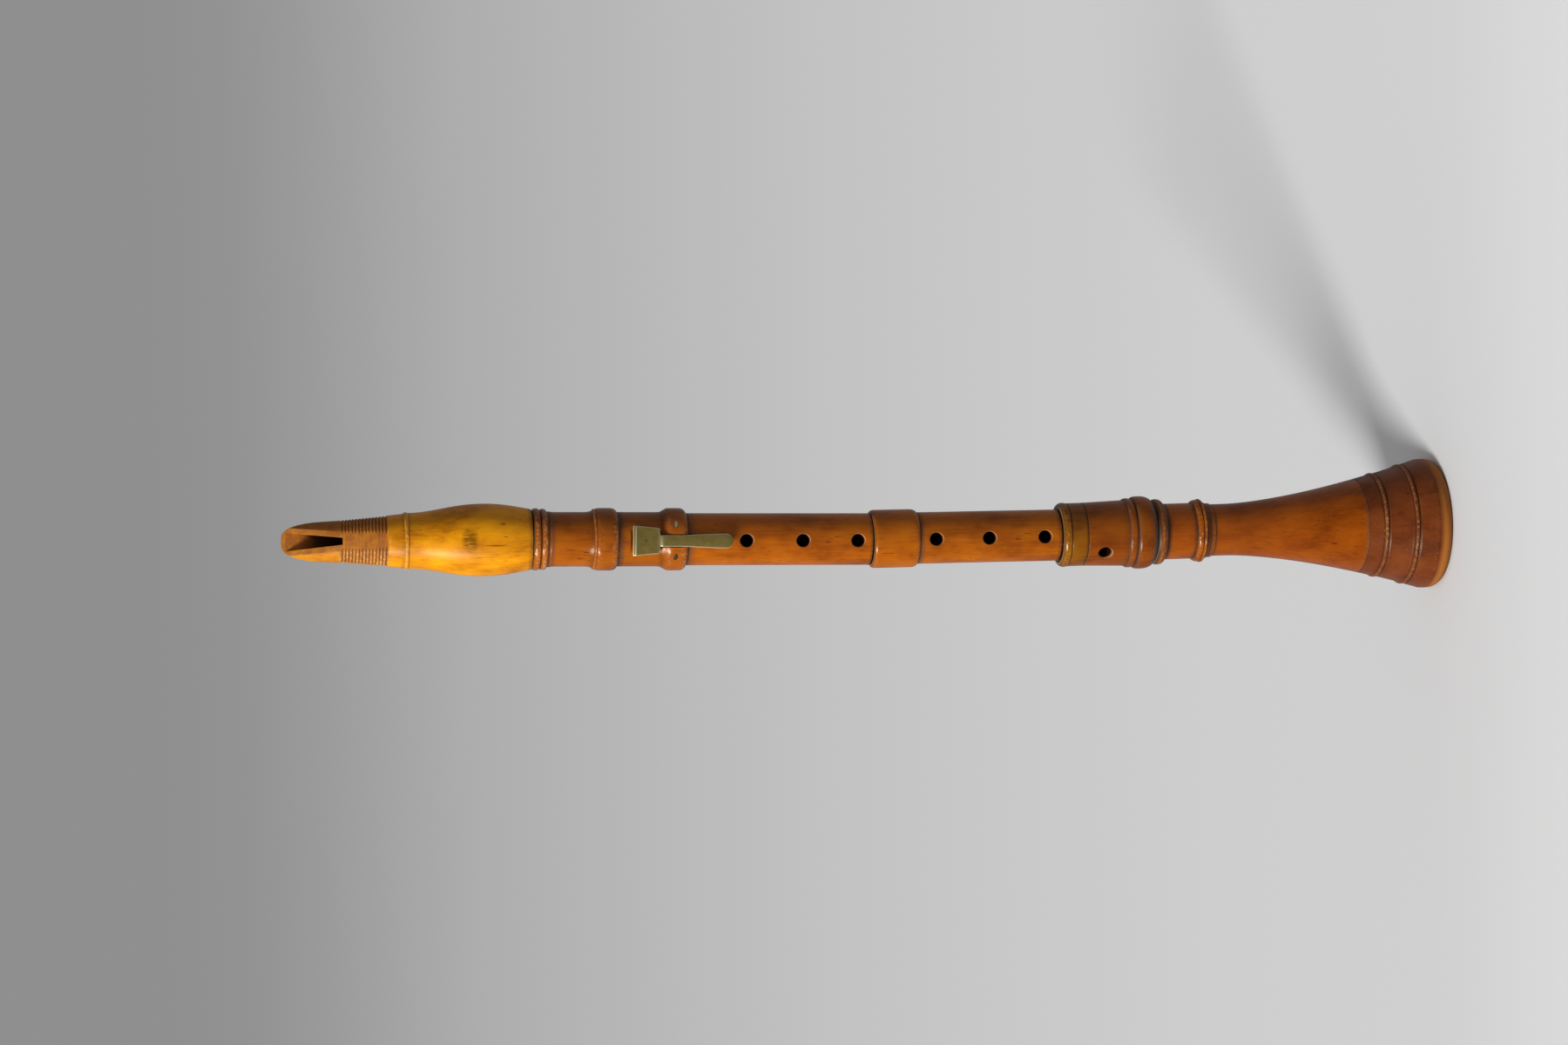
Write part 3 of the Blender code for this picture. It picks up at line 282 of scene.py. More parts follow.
def tinted(tree, share, first, second):
    """One colour turned into another by a share from 0 to 1."""
    ends = [end if isinstance(end, bpy.types.NodeSocket) else (*end, 1) for end in (first, second)]
    return node(tree, "Mix", {"data_type": "RGBA"}, _0=share, _6=ends[0], _7=ends[1]).outputs[2]


def layered(tree, colour, *layers):
    """A colour under layers of others, each laid on by its share."""
    for share, layer in layers:
        colour = tinted(tree, share, colour, layer)
    return colour


def scaled(tree, vector, factors):
    """Coordinates stretched along each axis."""
    return node(tree, "VectorMath", {"operation": "MULTIPLY"}, _0=vector, _1=factors).outputs[0]


def distance(tree, vector, point):
    """How far coordinates are from a point."""
    return node(tree, "VectorMath", {"operation": "DISTANCE"}, _0=vector, _1=point).outputs["Value"]


def noise(tree, vector, scale, detail=3.0, roughness=0.55):
    """Soft noise from 0 to 1."""
    shape = {"Scale": scale, "Detail": detail, "Roughness": roughness}
    return node(tree, "TexNoise", Vector=vector, **shape).outputs[0]


def grain(tree, spot, along, *shape):
    """Noise drawn out along the bore where along is less than 1."""
    return noise(tree, scaled(tree, spot, (1, 1, along)), *shape)


def marked(tree, name):
    """A number kept for each point of the mesh."""
    return node(tree, "Attribute", {"attribute_name": name}).outputs["Fac"]


def in_place(tree, place):
    """Object coordinates turned into a section's own frame, in millimetres."""
    return node(
        tree,
        "Mapping",
        {"vector_type": "TEXTURE"},
        Vector=node(tree, "TexCoord").outputs["Object"],
        Location=place.translation,
        Rotation=place.to_euler(),
        Scale=(MM, MM, MM),
    ).outputs[0]


def new_material(name):
    """An empty node tree with its shader."""
    made = bpy.data.materials.new(name)
    made.use_nodes = True
    return made, made.node_tree, made.node_tree.nodes["Principled BSDF"]


def finished(tree, shader, colour, shine, relief, strength, depth, edge=0.0):
    """Gives the shader its colour, its roughness and a relief of that depth, over softened edges."""
    bump = node(tree, "Bump", Strength=strength, Distance=depth * MM, Height=relief)
    if edge:
        softened = node(tree, "Bevel", {"samples": 4}, Radius=edge * MM)
        tree.links.new(softened.outputs[0], bump.inputs["Normal"])
    for socket, source in (("Base Color", colour), ("Roughness", shine), ("Normal", bump.outputs[0])):
        tree.links.new(source, shader.inputs[socket])


def boxwood(
    name, place, tone, worn, stain,
    gloss=0.21, polish=0.42, lip=0.6, inside=(0.45, 1.6), marks=(), mottle=0.0,
):
    """Oiled boxwood: clouds and faint long streaks of one tone, dark flecks and short cracks along
    the grain, dirt in the hollows, a few rubbed spots on the crests, pale edges on holes and slots as a
    painted highlight, and painted shade that darkens the wood deep inside. Each mark is a hatched
    bruise on the front: across, height, and its half width and half height. Mottle is how much of the
    stain is lost in spots."""
    made, tree, shader = new_material(name)
    spot = in_place(tree, place)
    tone = np.array(tone)
    deep = 0.16 * tone
    cloud = grain(tree, spot, 0.6, 0.075, 3.0)
    streak = grain(tree, spot, 0.05, 1.1, 4.0, 0.6)
    hair = grain(tree, spot, 0.02, 7.0, 2.0)
    flecks = ranged(tree, grain(tree, spot, 0.25, 2.2, 2.0), 0.7, 0.78, 0.0, 0.5)
    cracks = ranged(tree, grain(tree, spot, 0.07, 1.9, 1.0), 0.71, 0.735, 0.0, 0.8)
    patch = noise(tree, spot, 0.9, 4.0, 0.65)
    blotch = noise(tree, spot, 0.35, 2.0)
    shade = summed(tree, maths(tree, "MULTIPLY", streak, 0.25), (cloud, 0.75))
    ramp = node(tree, "ValToRGB", Fac=shade)
    stops = (0.39, (0.68, 0.60, 0.6)), (0.62, (1.22, 1.34, 1.5))
    for element, (stop, change) in zip(ramp.color_ramp.elements, stops):
        element.position = stop
        element.color = (*(tone * change), 1)
    ramp.color_ramp.elements.new(0.5).color = (*tone, 1)
    bruises = []
    for across_at, height, half_across, half_high in marks:
        size = (1 / half_across, 0, 1 / half_high)
        away = distance(tree, scaled(tree, spot, size), (across_at / half_across, 0, height / half_high))
        in_front = ranged(tree, node(tree, "SeparateXYZ", Vector=spot).outputs[1], -4.0, -6.0)
        bruise = maths(tree, "MULTIPLY", ranged(tree, away, 0.5, 1.1, 0.9, 0.0), in_front)
        hatch = ranged(tree, grain(tree, spot, 0.12, 1.6, 2.0), 0.4, 0.6, 0.4, 1.0)
        bruises.append((maths(tree, "MULTIPLY", bruise, hatch), 0.25 * tone))
    spots = ranged(tree, blotch, 0.35, 0.65, 1 - mottle, 1.0)
    dirt = maths(tree, "MULTIPLY", marked(tree, "grime"), ranged(tree, patch, 0.3, 0.6, 0.55, 0.92))
    rubbed = maths(tree, "MULTIPLY", marked(tree, "wear"), ranged(tree, patch, 0.49, 0.63, 0.05, 0.85))
    depth = marked(tree, "depth")
    below, not_deep = ranged(tree, depth, 0.03, 0.15), ranged(tree, depth, 0.35, 0.6, lip, 0.0)
    edged = maths(tree, "MULTIPLY", below, not_deep)
    colour = layered(
        tree,
        ramp.outputs[0],
        (flecks, deep),
        (cracks, deep),
        *bruises,
        # handled browning, and on the upper joint painted shade on the side away from the lamp
        (marked(tree, "browned"), deep),
        # stain, which on some pieces also holds painted shade or painted light
        (maths(tree, "MULTIPLY", marked(tree, "stain"), spots), stain),
        # wear, and on the mouthpiece's lit lands a painted highlight
        (rubbed, worn),
        (dirt, DIRT),
        # a painted highlight on the edges of holes and slots
        (edged, PAINTED_EDGE_HIGHLIGHT),
        # painted shade, darker the deeper the wood lies below the outside
        (ranged(tree, depth, *inside, 0.0, 0.94), PAINTED_BORE_SHADE),
    )
    shine = summed(tree, gloss - 0.1, (patch, 0.2), (dirt, 0.2), (marked(tree, "stain"), 0.25))
    pores = maths(tree, "MULTIPLY", streak, 0.5)
    relief = summed(tree, pores, (hair, 0.25), (flecks, -0.5), (cracks, -1.0), (patch, 0.3))
    finished(tree, shader, colour, shine, relief, strength=0.09, depth=0.12, edge=0.25)
    shader.inputs["Specular IOR Level"].default_value = polish
    shader.inputs["Specular Tint"].default_value = SHEEN
    return made


def finish_wood(
    piece, outline, place, seen,
    flats=None, seams=(), stained=nowhere, rubbed=nowhere, browned=nowhere, **looks,
):
    """Marks a turned piece with grime where its outline is hollow, with rubbing where it stands
    proud and with its depth below the outside; shades it smooth and gives it its boxwood.

    Only the heights that are seen count, and dirt fills the seams at the heights given. Depth is the
    least distance below the turned outside and below the flats, which are found from the points in
    the section's frame. Stain, further rubbing and browning are functions of those points too; on
    some pieces the stain also holds painted shade or painted light, the rubbing painted highlights
    and the browning painted shade.
    """
    points = local_points(piece, place)
    height, widest, proud = outer_radius(outline, seen)
    below = np.interp(points[:, 2], height, widest) - np.hypot(points[:, 0], points[:, 1])
    under_flats = flats(points) if flats else []
    on_lathe = np.logical_and.reduce([below < LATHE_SKIN] + [under > FLAT_SKIN for under in under_flats])
    stands = np.interp(points[:, 2], height, proud) * on_lathe
    stain = stained(points)
    worn = np.clip((stands - WORN_FROM) / WORN_OVER, 0, 1) * (1 - stain)
    grimy = np.clip(-stands / GRIMY_OVER, 0, 1) * (1 - 0.4 * stain)
    note(
        piece,
        grime=np.maximum.reduce([grimy] + [hump(points[:, 2], seam, SEAM_HALF) for seam in seams]),
        wear=np.maximum(worn, rubbed(points)),
        depth=np.clip(np.minimum.reduce([below] + under_flats), 0, None) * (stands < 0.02),
        stain=stain,
        browned=browned(points),
    )
    smooth(piece)
    piece.data.materials.append(boxwood(place=place, **looks))


def ride_as(piece, body, slot, *nodes):
    """The piece moves with a body and stands for the nodes, which it hides; the slot is not used."""
    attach(piece, body)
    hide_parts(*nodes)


def bead(root, crest, low, high):
    """A half round on the wood: half an ellipse from one height to another, out to its crest."""
    angle = np.linspace(0, np.pi, 25)
    half = (high - low) / 2
    return np.column_stack([root + (crest - root) * np.sin(angle), low + half - half * np.cos(angle)])


def between(start, end, across, along):
    """Points from a start to an end, by shares of the way across the axis and along it."""
    return np.array(start) + (np.array(end) - start) * np.column_stack([across, along])


def quarter_across(start, end):
    """A quarter of an ellipse that leaves its start across the axis."""
    angle = np.linspace(0, np.pi / 2, 13)
    return between(start, end, np.sin(angle), 1 - np.cos(angle))


def flare(height):
    """The bell's outer radius: the neck, plus a power of the way down from it."""
    share = np.clip((FLARE_TOP - height) / (FLARE_TOP - RIM_EDGE), 0, None)
    return NECK_RADIUS + (RIM_RADIUS - NECK_RADIUS) * share**FLARE_POWER


def flared(low, high, count=25):
    """The flare's outline between two heights."""
    height = np.linspace(low, high, count)
    return np.column_stack([flare(height), height])


def bell_bore(low, high, count=25):
    """The bell's inside between two heights, widening downwards by a power of the way."""
    height = np.linspace(low, high, count)
    share = (BELL_SOCKET_END - height) / BELL_SOCKET_END
    return np.column_stack([BORE_RADIUS + (RIM_FACE[0] - BORE_RADIUS) * share**BELL_BORE_POWER, height])


def quirked_bead(middle):
    """A bead on the flare with a narrow sunk quirk on each side of it."""
    root, (quirk, sunk) = flare(middle), RIM_QUIRK
    low, high = middle - RIM_BEAD_HALF, middle + RIM_BEAD_HALF
    return np.vstack(
        [
            [(flare(low - quirk), low - quirk), (flare(low) - sunk, low - 0.2)],
            bead(root - 0.2, root + RIM_BEAD_RISE, low, high),
            [(flare(high) - sunk, high + 0.2), (flare(high + quirk), high + quirk)],
        ]
    )


spigot_radius = (flare(RIM_HEIGHT) + bell_bore(RIM_HEIGHT, RIM_HEIGHT, 1)[0, 0]) / 2
rim_step = RIM_HEIGHT - RIM_SPIGOT
rim_outline = worn_outline(
    [(RIM_FACE[0], 0), (RIM_FACE[1], 0)],
    quarter_across((RIM_FACE[1], 0), (RIM_RADIUS, RIM_ROUND)),
    flared(RIM_EDGE, RIM_BEADS[0] - RIM_BEAD_REACH),
    quirked_bead(RIM_BEADS[0]),
    flared(RIM_BEADS[0] + RIM_BEAD_REACH, RIM_BEADS[1] - RIM_BEAD_REACH) - (RIM_WAIST, 0),
    quirked_bead(RIM_BEADS[1]),
    flared(RIM_BEADS[1] + RIM_BEAD_REACH, RIM_HEIGHT),
    [(spigot_radius + GLUE_GAP, RIM_HEIGHT), (spigot_radius + GLUE_GAP, rim_step)],
    bell_bore(rim_step, 0),
)
rim_lathe = rim_outline, BELL_PLACE, (0, RIM_HEIGHT)
rim = turned("bell_rim_ring", *rim_lathe, chips=0.35)


def rim_stain(points):
    """The edge on the floor is rubbed down to paler wood, up to a wavering line."""
    angle = np.arctan2(points[:, 1], points[:, 0])
    line = RIM_PALE_LINE + 0.14 * np.sin(7 * angle) + 0.12 * np.sin(17 * angle + 1)
    return np.clip((line - points[:, 2]) / 0.6, 0, 1)


def rim_rubbed(points):
    """The stain is rubbed off the beads' crests, and a flake of it is lost at the front."""
    angle = np.degrees(np.arctan2(points[:, 0], -points[:, 1]))
    flake = 3.0 * hump(angle, 0, 13, 4) * hump(points[:, 2], RIM_BEADS[1] + 0.9, 0.7)
    return np.maximum(flake, banded(*((crest, 0.4, 1.4, 2) for crest in RIM_BEADS))(points))


finish_wood(
    rim,
    *rim_lathe,
    stained=rim_stain,
    rubbed=rim_rubbed,
    name="red_boxwood_finish",
    tone=(0.245, 0.052, 0.010),
    worn=(0.55, 0.22, 0.06),
    stain=(0.62, 0.20, 0.035),
    gloss=0.32,
    polish=0.36,
)
ride_as(rim, "bell", "red_boxwood", "bell_rim")

# Bell
# Turned from one piece of orange-stained boxwood and reamed inside, with a bead and a shoulder
# below its socket and a handled round at its mouth, dark with dirt and painted shade.

BELL_TOP = 137.4
BELL_SOCKET_RADIUS = 9.8
BELL_BAND = (109.8, 112.5, 12.6)
BELL_STEP = (112.5, 113.8, 13.15)
BELL_BEAD = (113.8, 115.8, 14.8)
BELL_SHOULDER = (116.0, 118.3, 14.45)
BELL_CUP_RADIUS = 13.0
BELL_MOUTH = ((13.3, 132.8), (15.3, 135.2), (14.2, BELL_TOP))
MOUTH_STEP = 0.3
MOUTH_WORN_LINE = 135.5
DIRT_BAND = (0.5, 4)
BELL_DIRT = ((93.5, 0.5, 0.5, 2), (111.8, 1.9, *DIRT_BAND), (119.1, 0.7, *DIRT_BAND))
BELL_RUBBED = ((sum(BELL_SHOULDER[:2]) / 2, 0.8, 1.3, 2), (MOUTH_WORN_LINE, 0.4, 1.3, 2))
# Share of dirt below the mouth's worn line, and of dirt with painted shade above it.
MOUTH_DIRT_AND_SHADE = (0.6, 0.85)
BELL_MARKS = ((-7.1, 54.0, 0.5, 1.7),)


def quarter_along(start, end):
    """A quarter of an ellipse that leaves its start along the axis."""
    angle = np.linspace(0, np.pi / 2, 13)
    return between(start, end, 1 - np.cos(angle), np.sin(angle))


bell_base = RIM_HEIGHT + GLUE_GAP
bell_outline = worn_outline(
    [(spigot_radius, bell_base - RIM_SPIGOT), (spigot_radius, bell_base)],
    flared(bell_base, FLARE_TOP, 40),
    [(NECK_RADIUS, BELL_BAND[0]), (BELL_BAND[2], BELL_BAND[0]), (BELL_BAND[2], BELL_BAND[1])],
    [(BELL_STEP[2], BELL_STEP[0]), (BELL_STEP[2], BELL_STEP[1])],
    bead(BELL_STEP[2], BELL_BEAD[2], *BELL_BEAD[:2]),
    quarter_along((BELL_SHOULDER[2], BELL_SHOULDER[0]), (BELL_CUP_RADIUS, BELL_SHOULDER[1])),
    [(BELL_CUP_RADIUS, BELL_MOUTH[0][1] - MOUTH_STEP)],
    quarter_across(*BELL_MOUTH[:2]),
    quarter_along(*BELL_MOUTH[1:]),
    [(BELL_SOCKET_RADIUS, BELL_TOP), (BELL_SOCKET_RADIUS, BELL_SOCKET_END)],
    bell_bore(BELL_SOCKET_END, bell_base - RIM_SPIGOT),
)
bell_lathe = bell_outline, BELL_PLACE, (bell_base, BELL_TOP)
bell = turned("bell_body", *bell_lathe, chips=0.2)


def bell_dirt_and_shade(points):
    """Handling has left grey dirt on both sides of the mouth's round, darker on its upper face as
    painted shade under the foot's ring, grey dirt beside the lower bead, and a ring line on the neck."""
    height = points[:, 2]
    mouth = np.where(height > MOUTH_WORN_LINE, *MOUTH_DIRT_AND_SHADE[::-1]) * (height > BELL_MOUTH[0][1] - 0.8)
    mouth = mouth * np.clip((np.abs(height - MOUTH_WORN_LINE) - 0.45) / 0.4, 0, 1)
    return np.clip(mouth + banded(*BELL_DIRT)(points), 0, MOUTH_DIRT_AND_SHADE[1])


# The dirt is rubbed off again on the shoulder and along a line round the mouth.
finish_wood(
    bell,
    *bell_lathe,
    stained=bell_dirt_and_shade,
    rubbed=banded(*BELL_RUBBED),
    name="bell_boxwood_finish",
    tone=(0.405, 0.079, 0.001),
    worn=(0.46, 0.25, 0.07),
    stain=(0.070, 0.047, 0.036),
    marks=BELL_MARKS,
)
ride_as(bell, "bell", "stained_boxwood", "bell")

# Foot joint
# A short section of stained boxwood with a heavy ring, a bead and the little finger's hole,
# which is drilled to one side. Its tenon stands in the bell.

TENON_RADIUS = 9.2
TENON_BEVEL = 0.6
LAPPING_DEPTH = 0.5
LAPPING_LAND = 2.5
BELL_TENON = 18.0
FOOT_END_RADIUS = 13.6
FOOT_ARRIS = 0.05
FOOT_RING = (5.3, 7.3, 16.9)
FOOT_COVE = (9.7, 15.45)
FOOT_BEAD = (10.0, 13.4, 16.15)
FOOT_BODY = (15.3, 14.65)
FOOT_STEP = 33.1
FOOT_TOP = 44.9
FOOT_SPIGOT_RADIUS = 12.4
FOOT_SOCKET = (9.965, 29.1)
# Height up to which the foot ring's underside is dark with dirt and painted shade.
FOOT_DIRT_AND_SHADE_END = 2.4
FOOT_DIRT = ((FOOT_COVE[0] - 0.3, 0.8, *DIRT_BAND), (FOOT_BEAD[1] + 0.2, 0.7, *DIRT_BAND))
LITTLE_FINGER_HOLE = (-34.5, 25.3, 2.85)
DRILL_START = 3.3
DRILL_STEPS = 48
HOLE_EDGE = ((0, -1.2), (0.12, -0.6), (0.45, -0.1), (1.0, 0.4), (1.0, 3.5))

joint_at = {joint["name"]: joint for joint in frame["joints"]}


def section_place(name):
    """The frame of a section: at its tenon's shoulder, Z along the axis on which it turns."""
    joint = joint_at[name]
    lean = math.atan2(joint["axis"][0], joint["axis"][2])
    return Matrix.Translation(joint["pos_m"]) @ Matrix.Rotation(lean, 4, "Y")


def tenon(shoulder, length, way):
    """A tenon from its shoulder to its end, with a shallow groove for the thread."""
    groove, far_land = TENON_RADIUS - LAPPING_DEPTH, length - LAPPING_LAND
    corners = [(TENON_RADIUS, 0), (TENON_RADIUS, LAPPING_LAND), (groove, LAPPING_LAND)]
    corners += [(groove, far_land), (TENON_RADIUS, far_land), (TENON_RADIUS, length - TENON_BEVEL)]
    corners += [(TENON_RADIUS - TENON_BEVEL, length), (BORE_RADIUS, length)]
    return np.array(corners) * (1, way) + (0, shoulder)


def apply_modifiers(piece):
    """Keeps the mesh that the modifiers give."""
    graph = bpy.context.evaluated_depsgraph_get()
    mesh = bpy.data.meshes.new_from_object(piece.evaluated_get(graph))
    mesh.materials.clear()
    piece.modifiers.clear()
    piece.data = mesh


def welded(piece):
    """The piece with its poles closed, where a whole row of points lies in one place."""
    modifier = piece.modifiers.new("weld", "WELD")
    modifier.merge_threshold = 1e-6
    apply_modifiers(piece)
    return piece


def carve(piece, tools, operation="DIFFERENCE"):
    """Cuts the tools out of the piece, or keeps what is in them, and throws them away."""
    rack = bpy.data.collections.new("rack")
    for tool in tools:
        rack.objects.link(tool)
    modifier = piece.modifiers.new("carve", "BOOLEAN")
    modifier.operation = operation
    modifier.operand_type = "COLLECTION"
    modifier.collection = rack
    modifier.solver = "MANIFOLD"
    apply_modifiers(piece)
    for tool in tools:
        bpy.data.objects.remove(tool)
    bpy.data.collections.remove(rack)


def solid_turned(name, corners, place, steps):
    """A turned solid: an outline that starts and ends on the axis."""
    outline = worn_outline(corners, softness=0.06, closed=False)
    return welded(turned(name, outline, place, closed=False, steps=steps))


def facing(place, angle, height):
    """A frame on a section whose Z points outwards; angle 0 is the front and turns towards +X."""
    turn = Matrix.Rotation(math.radians(angle), 4, "Z") @ Matrix.Rotation(math.pi / 2, 4, "X")
    return place @ Matrix.Translation((0, 0, height * MM)) @ turn


def drill(place, angle, height, radius, outside):
    """A drill for one hole, flared where it leaves the wood so that the hole's edge is rounded."""
    corners = [(0, DRILL_START), (radius, DRILL_START)]
    corners += [(radius + wider, outside + beyond) for wider, beyond in HOLE_EDGE]
    corners += [(0, corners[-1][1])]
    return solid_turned("drill", corners, facing(place, angle, height), steps=DRILL_STEPS)


foot_place = section_place("bell_turn")
foot_outline = worn_outline(
    tenon(0, BELL_TENON, -1)[::-1],
    [(FOOT_END_RADIUS, 0)],
    quarter_across((FOOT_END_RADIUS, FOOT_ARRIS), (FOOT_RING[2], FOOT_RING[0])),
    quarter_along((FOOT_RING[2], FOOT_RING[1]), FOOT_COVE[::-1]),
    bead(FOOT_COVE[1], FOOT_BEAD[2], *FOOT_BEAD[:2]),
    [(FOOT_BODY[0], FOOT_BEAD[1] + 0.2), (FOOT_BODY[1], FOOT_STEP)],
    [(FOOT_SPIGOT_RADIUS, FOOT_STEP), (FOOT_SPIGOT_RADIUS, FOOT_TOP)],
    [(FOOT_SOCKET[0], FOOT_TOP), FOOT_SOCKET, (BORE_RADIUS, FOOT_SOCKET[1])],
)
foot_lathe = foot_outline, foot_place, (0, FOOT_STEP)
foot = turned("foot_joint_body", *foot_lathe, chips=0.12)
carve(foot, [drill(foot_place, *LITTLE_FINGER_HOLE, FOOT_BODY[1])])


def foot_dirt_and_shade(points):
    """Under the ring, dirt and painted shade make the wood dark grey; grey dirt lies in the cove
    between the ring and the bead, and above the bead.
    """
    under = 0.85 * np.clip((FOOT_DIRT_AND_SHADE_END - points[:, 2]) / 0.3, 0, 1)
    return under + banded(*FOOT_DIRT)(points)


finish_wood(
    foot,
    *foot_lathe,
    stained=foot_dirt_and_shade,
    name="foot_boxwood_finish",
    tone=(0.325, 0.068, 0.001),
    worn=(0.46, 0.14, 0.02),
    stain=(0.12, 0.082, 0.066),
)
ride_as(foot, "foot", "stained_boxwood", "foot_joint")

# Collar of the foot's socket
# A ring of paler, olive-yellow wood pressed on a spigot, which keeps the socket from splitting.
# Its lip rounds over into the socket's mouth.

COLLAR_GROOVE = (40.7, 41.3, 0.4)
COLLAR_LIP = (14.95, 42.5)
COLLAR_MOUTH_RADIUS = 12.9

collar_inner, collar_base = FOOT_SPIGOT_RADIUS + GLUE_GAP, FOOT_STEP + GLUE_GAP
collar_outline = worn_outline(
    [(collar_inner, collar_base), (FOOT_BODY[1], collar_base), (FOOT_BODY[1], COLLAR_GROOVE[0])],
    [(FOOT_BODY[1] - COLLAR_GROOVE[2], sum(COLLAR_GROOVE[:2]) / 2)],
    quarter_across((FOOT_BODY[1], COLLAR_GROOVE[1]), COLLAR_LIP),
    quarter_along(COLLAR_LIP, (COLLAR_MOUTH_RADIUS, FOOT_TOP)),
    [(collar_inner, FOOT_TOP)],
)
collar_lathe = collar_outline, foot_place, (collar_base, FOOT_TOP)
collar = turned("socket_collar", *collar_lathe, chips=0.1)

# A dark line of old glue and dirt runs along the collar's base.
finish_wood(
    collar,
    *collar_lathe,
    stained=banded((collar_base, 0.5, 0.9, 2)),
    name="collar_boxwood_finish",
    tone=(0.290, 0.087, 0.001),
    worn=(0.55, 0.28, 0.05),
    stain=(0.03, 0.014, 0.006),
)
ride_as(collar, "foot", "pale_boxwood", "foot_socket_collar")

# Lower joint
# A plain tube of stained boxwood, turned and drilled for three fingers of the right hand. A ring is
# left standing at its top to strengthen the socket, and its tenon stands in the foot.

FOOT_TENON = 15.0
LOWER_RADIUS = 11.9
LOWER_TOP = 88.4
SOCKET_RING = (66.9, 69.6, 86.6, 13.4)
RING_NICK = ((0, 0.8), (0.12, 0.2))
LOWER_LIP = 0.15
LOWER_SOCKET = (10.108, 72.1)
RIGHT_HAND_HOLES = (8.1, 34.4, 59.4)
FINGER_HOLE_RADIUS = 2.95

lower_place = section_place("foot_turn")
lower_outline = worn_outline(
    tenon(0, FOOT_TENON, -1)[::-1],
    [(LOWER_RADIUS, 0)],
    [(LOWER_RADIUS - sunk, SOCKET_RING[0] - below) for sunk, below in RING_NICK],
    quarter_across((LOWER_RADIUS, SOCKET_RING[0]), (SOCKET_RING[3], SOCKET_RING[1])),
    quarter_along((SOCKET_RING[3], SOCKET_RING[2]), (LOWER_RADIUS + LOWER_LIP, LOWER_TOP)),
    [(LOWER_SOCKET[0], LOWER_TOP), LOWER_SOCKET, (BORE_RADIUS, LOWER_SOCKET[1])],
)
lower_lathe = lower_outline, lower_place, (0, LOWER_TOP)
lower = turned("lower_joint_body", *lower_lathe, chips=0.08)
carve(lower, [drill(lower_place, 0, z, FINGER_HOLE_RADIUS, LOWER_RADIUS) for z in RIGHT_HAND_HOLES])

# Grey dirt lies below the socket's ring.
finish_wood(
    lower,
    *lower_lathe,
    seams=(0, LOWER_TOP),
    stained=banded((SOCKET_RING[0] - 0.5, 0.7, *DIRT_BAND)),
    name="lower_boxwood_finish",
    tone=(0.485, 0.112, 0.001),
    worn=(0.58, 0.25, 0.04),
    stain=(0.12, 0.082, 0.066),
)
ride_as(lower, "lower", "stained_boxwood", "lower_joint")

# Upper joint
# The left hand's tube of stained boxwood. Two rings are left standing in the turning to carry the
# keys, and are slotted and drilled for them, and two beads crown it below the barrel. Pad seats and
# spring channels are cut flat.

MIDDLE_TENON = 15.5
TOP_TENON = 20.0
UPPER_RADIUS = 11.9
KEY_TUBE_RADIUS = 12.4
RING_CREST = 14.25
RING_ROUND = (5.7, 2.9)
RING_STEP = 0.3
FRONT_SLOPE = (2.1, 6.7)
REAR_CREST_END = 2.2
REAR_FILLET = (4.2, 5.2, 13.5, 13.85)
REAR_COVE = (9.3, 13.35)
FRONT_PIN = 91.3
REAR_PIN = 122.9
PIN_DEPTH = 12.0
PIN_HOLE_RADIUS = 1.0
PIN_STEPS = 32
UPPER_TOP = 155.7
TOP_BEADS = ((149.3, 152.3, 13.9), (152.3, 155.7, 14.15))
TOP_BEAD_ROOT = 12.9
CROWN_STEP = ((0, 2.6), (0.35, 1.5), (0.2, 1.3))
LEFT_HAND_HOLES = (7.1, 32.6, 58.7)
THUMB_HOLE = (180, 69.2, 2.9)
PAD_RISE = 13.6
PAD_SEAT = (RING_CREST, 11.0, 6.6, 20.6)
HINGE_SLOT = (3.0, 9.8, -7.7, 7.7)
SPRING_CHANNEL = (2.1, 10.8, -23.6, -5.7)
GUIDE_SLOT = (3.8, 11.2, -7.7, 7.7)
UPPER_MARKS = ((-7.0, 69.5, 0.3, 7.5), (-8.3, 134.6, 0.7, 1.6), (-8.0, 117.5, 0.8, 1.0))

Key = namedtuple("Key", "name pin angle hole")
KEYS = (Key("front_key", FRONT_PIN, 0, 2.8), Key("speaker_key", REAR_PIN, 180, 2.15))


def ring_below(pin, tube):
    """The lower side of a key's ring: a short step off the tube, and a round up to the crest."""
    base = pin - RING_ROUND[0]
    side = quarter_across((tube, base), (RING_CREST, base + RING_ROUND[1]))
    return np.vstack([[(tube, base - RING_STEP)], side])


def ogee(start, end, delay=1.0):
    """An S-shaped slope between two points: half a cosine wave of a power of the way."""
    share = np.linspace(0, 1, 25)
    return between(start, end, (1 - np.cos(np.pi * share**delay)) / 2, share)


def loft(name, sections, place):
    """A solid through rings of corner points, closed at both ends at their middles."""
    rings = np.asarray(sections, float)
    ends = [np.repeat(ring.mean(0, keepdims=True), len(ring), 0)[None] for ring in (rings[0], rings[-1])]
    return welded(skin(name, np.concatenate([ends[0], rings, ends[1]]), place))


def across(half, front, back, height):
    """Corners of a flat section at one height, between a front and a back depth."""
    return [(-half, front, height), (half, front, height), (half, back, height), (-half, back, height)]


def slot_tool(pin, angle, half, floor, low, high):
    """A block that cuts from outside the ring in to a floor, between two heights from a pin."""
    turn = upper_place @ Matrix.Rotation(math.radians(angle), 4, "Z")
    return loft("slot_tool", [across(half, -RING_CREST - 3, -floor, pin + z) for z in (low, high)], turn)


def key_place(key):
    """A key's frame on its pin: Z up the joint and -Y outwards."""
    turn = Matrix.Rotation(math.radians(key.angle), 4, "Z")
    return upper_place @ turn @ Matrix.Translation((0, -PIN_DEPTH * MM, key.pin * MM))


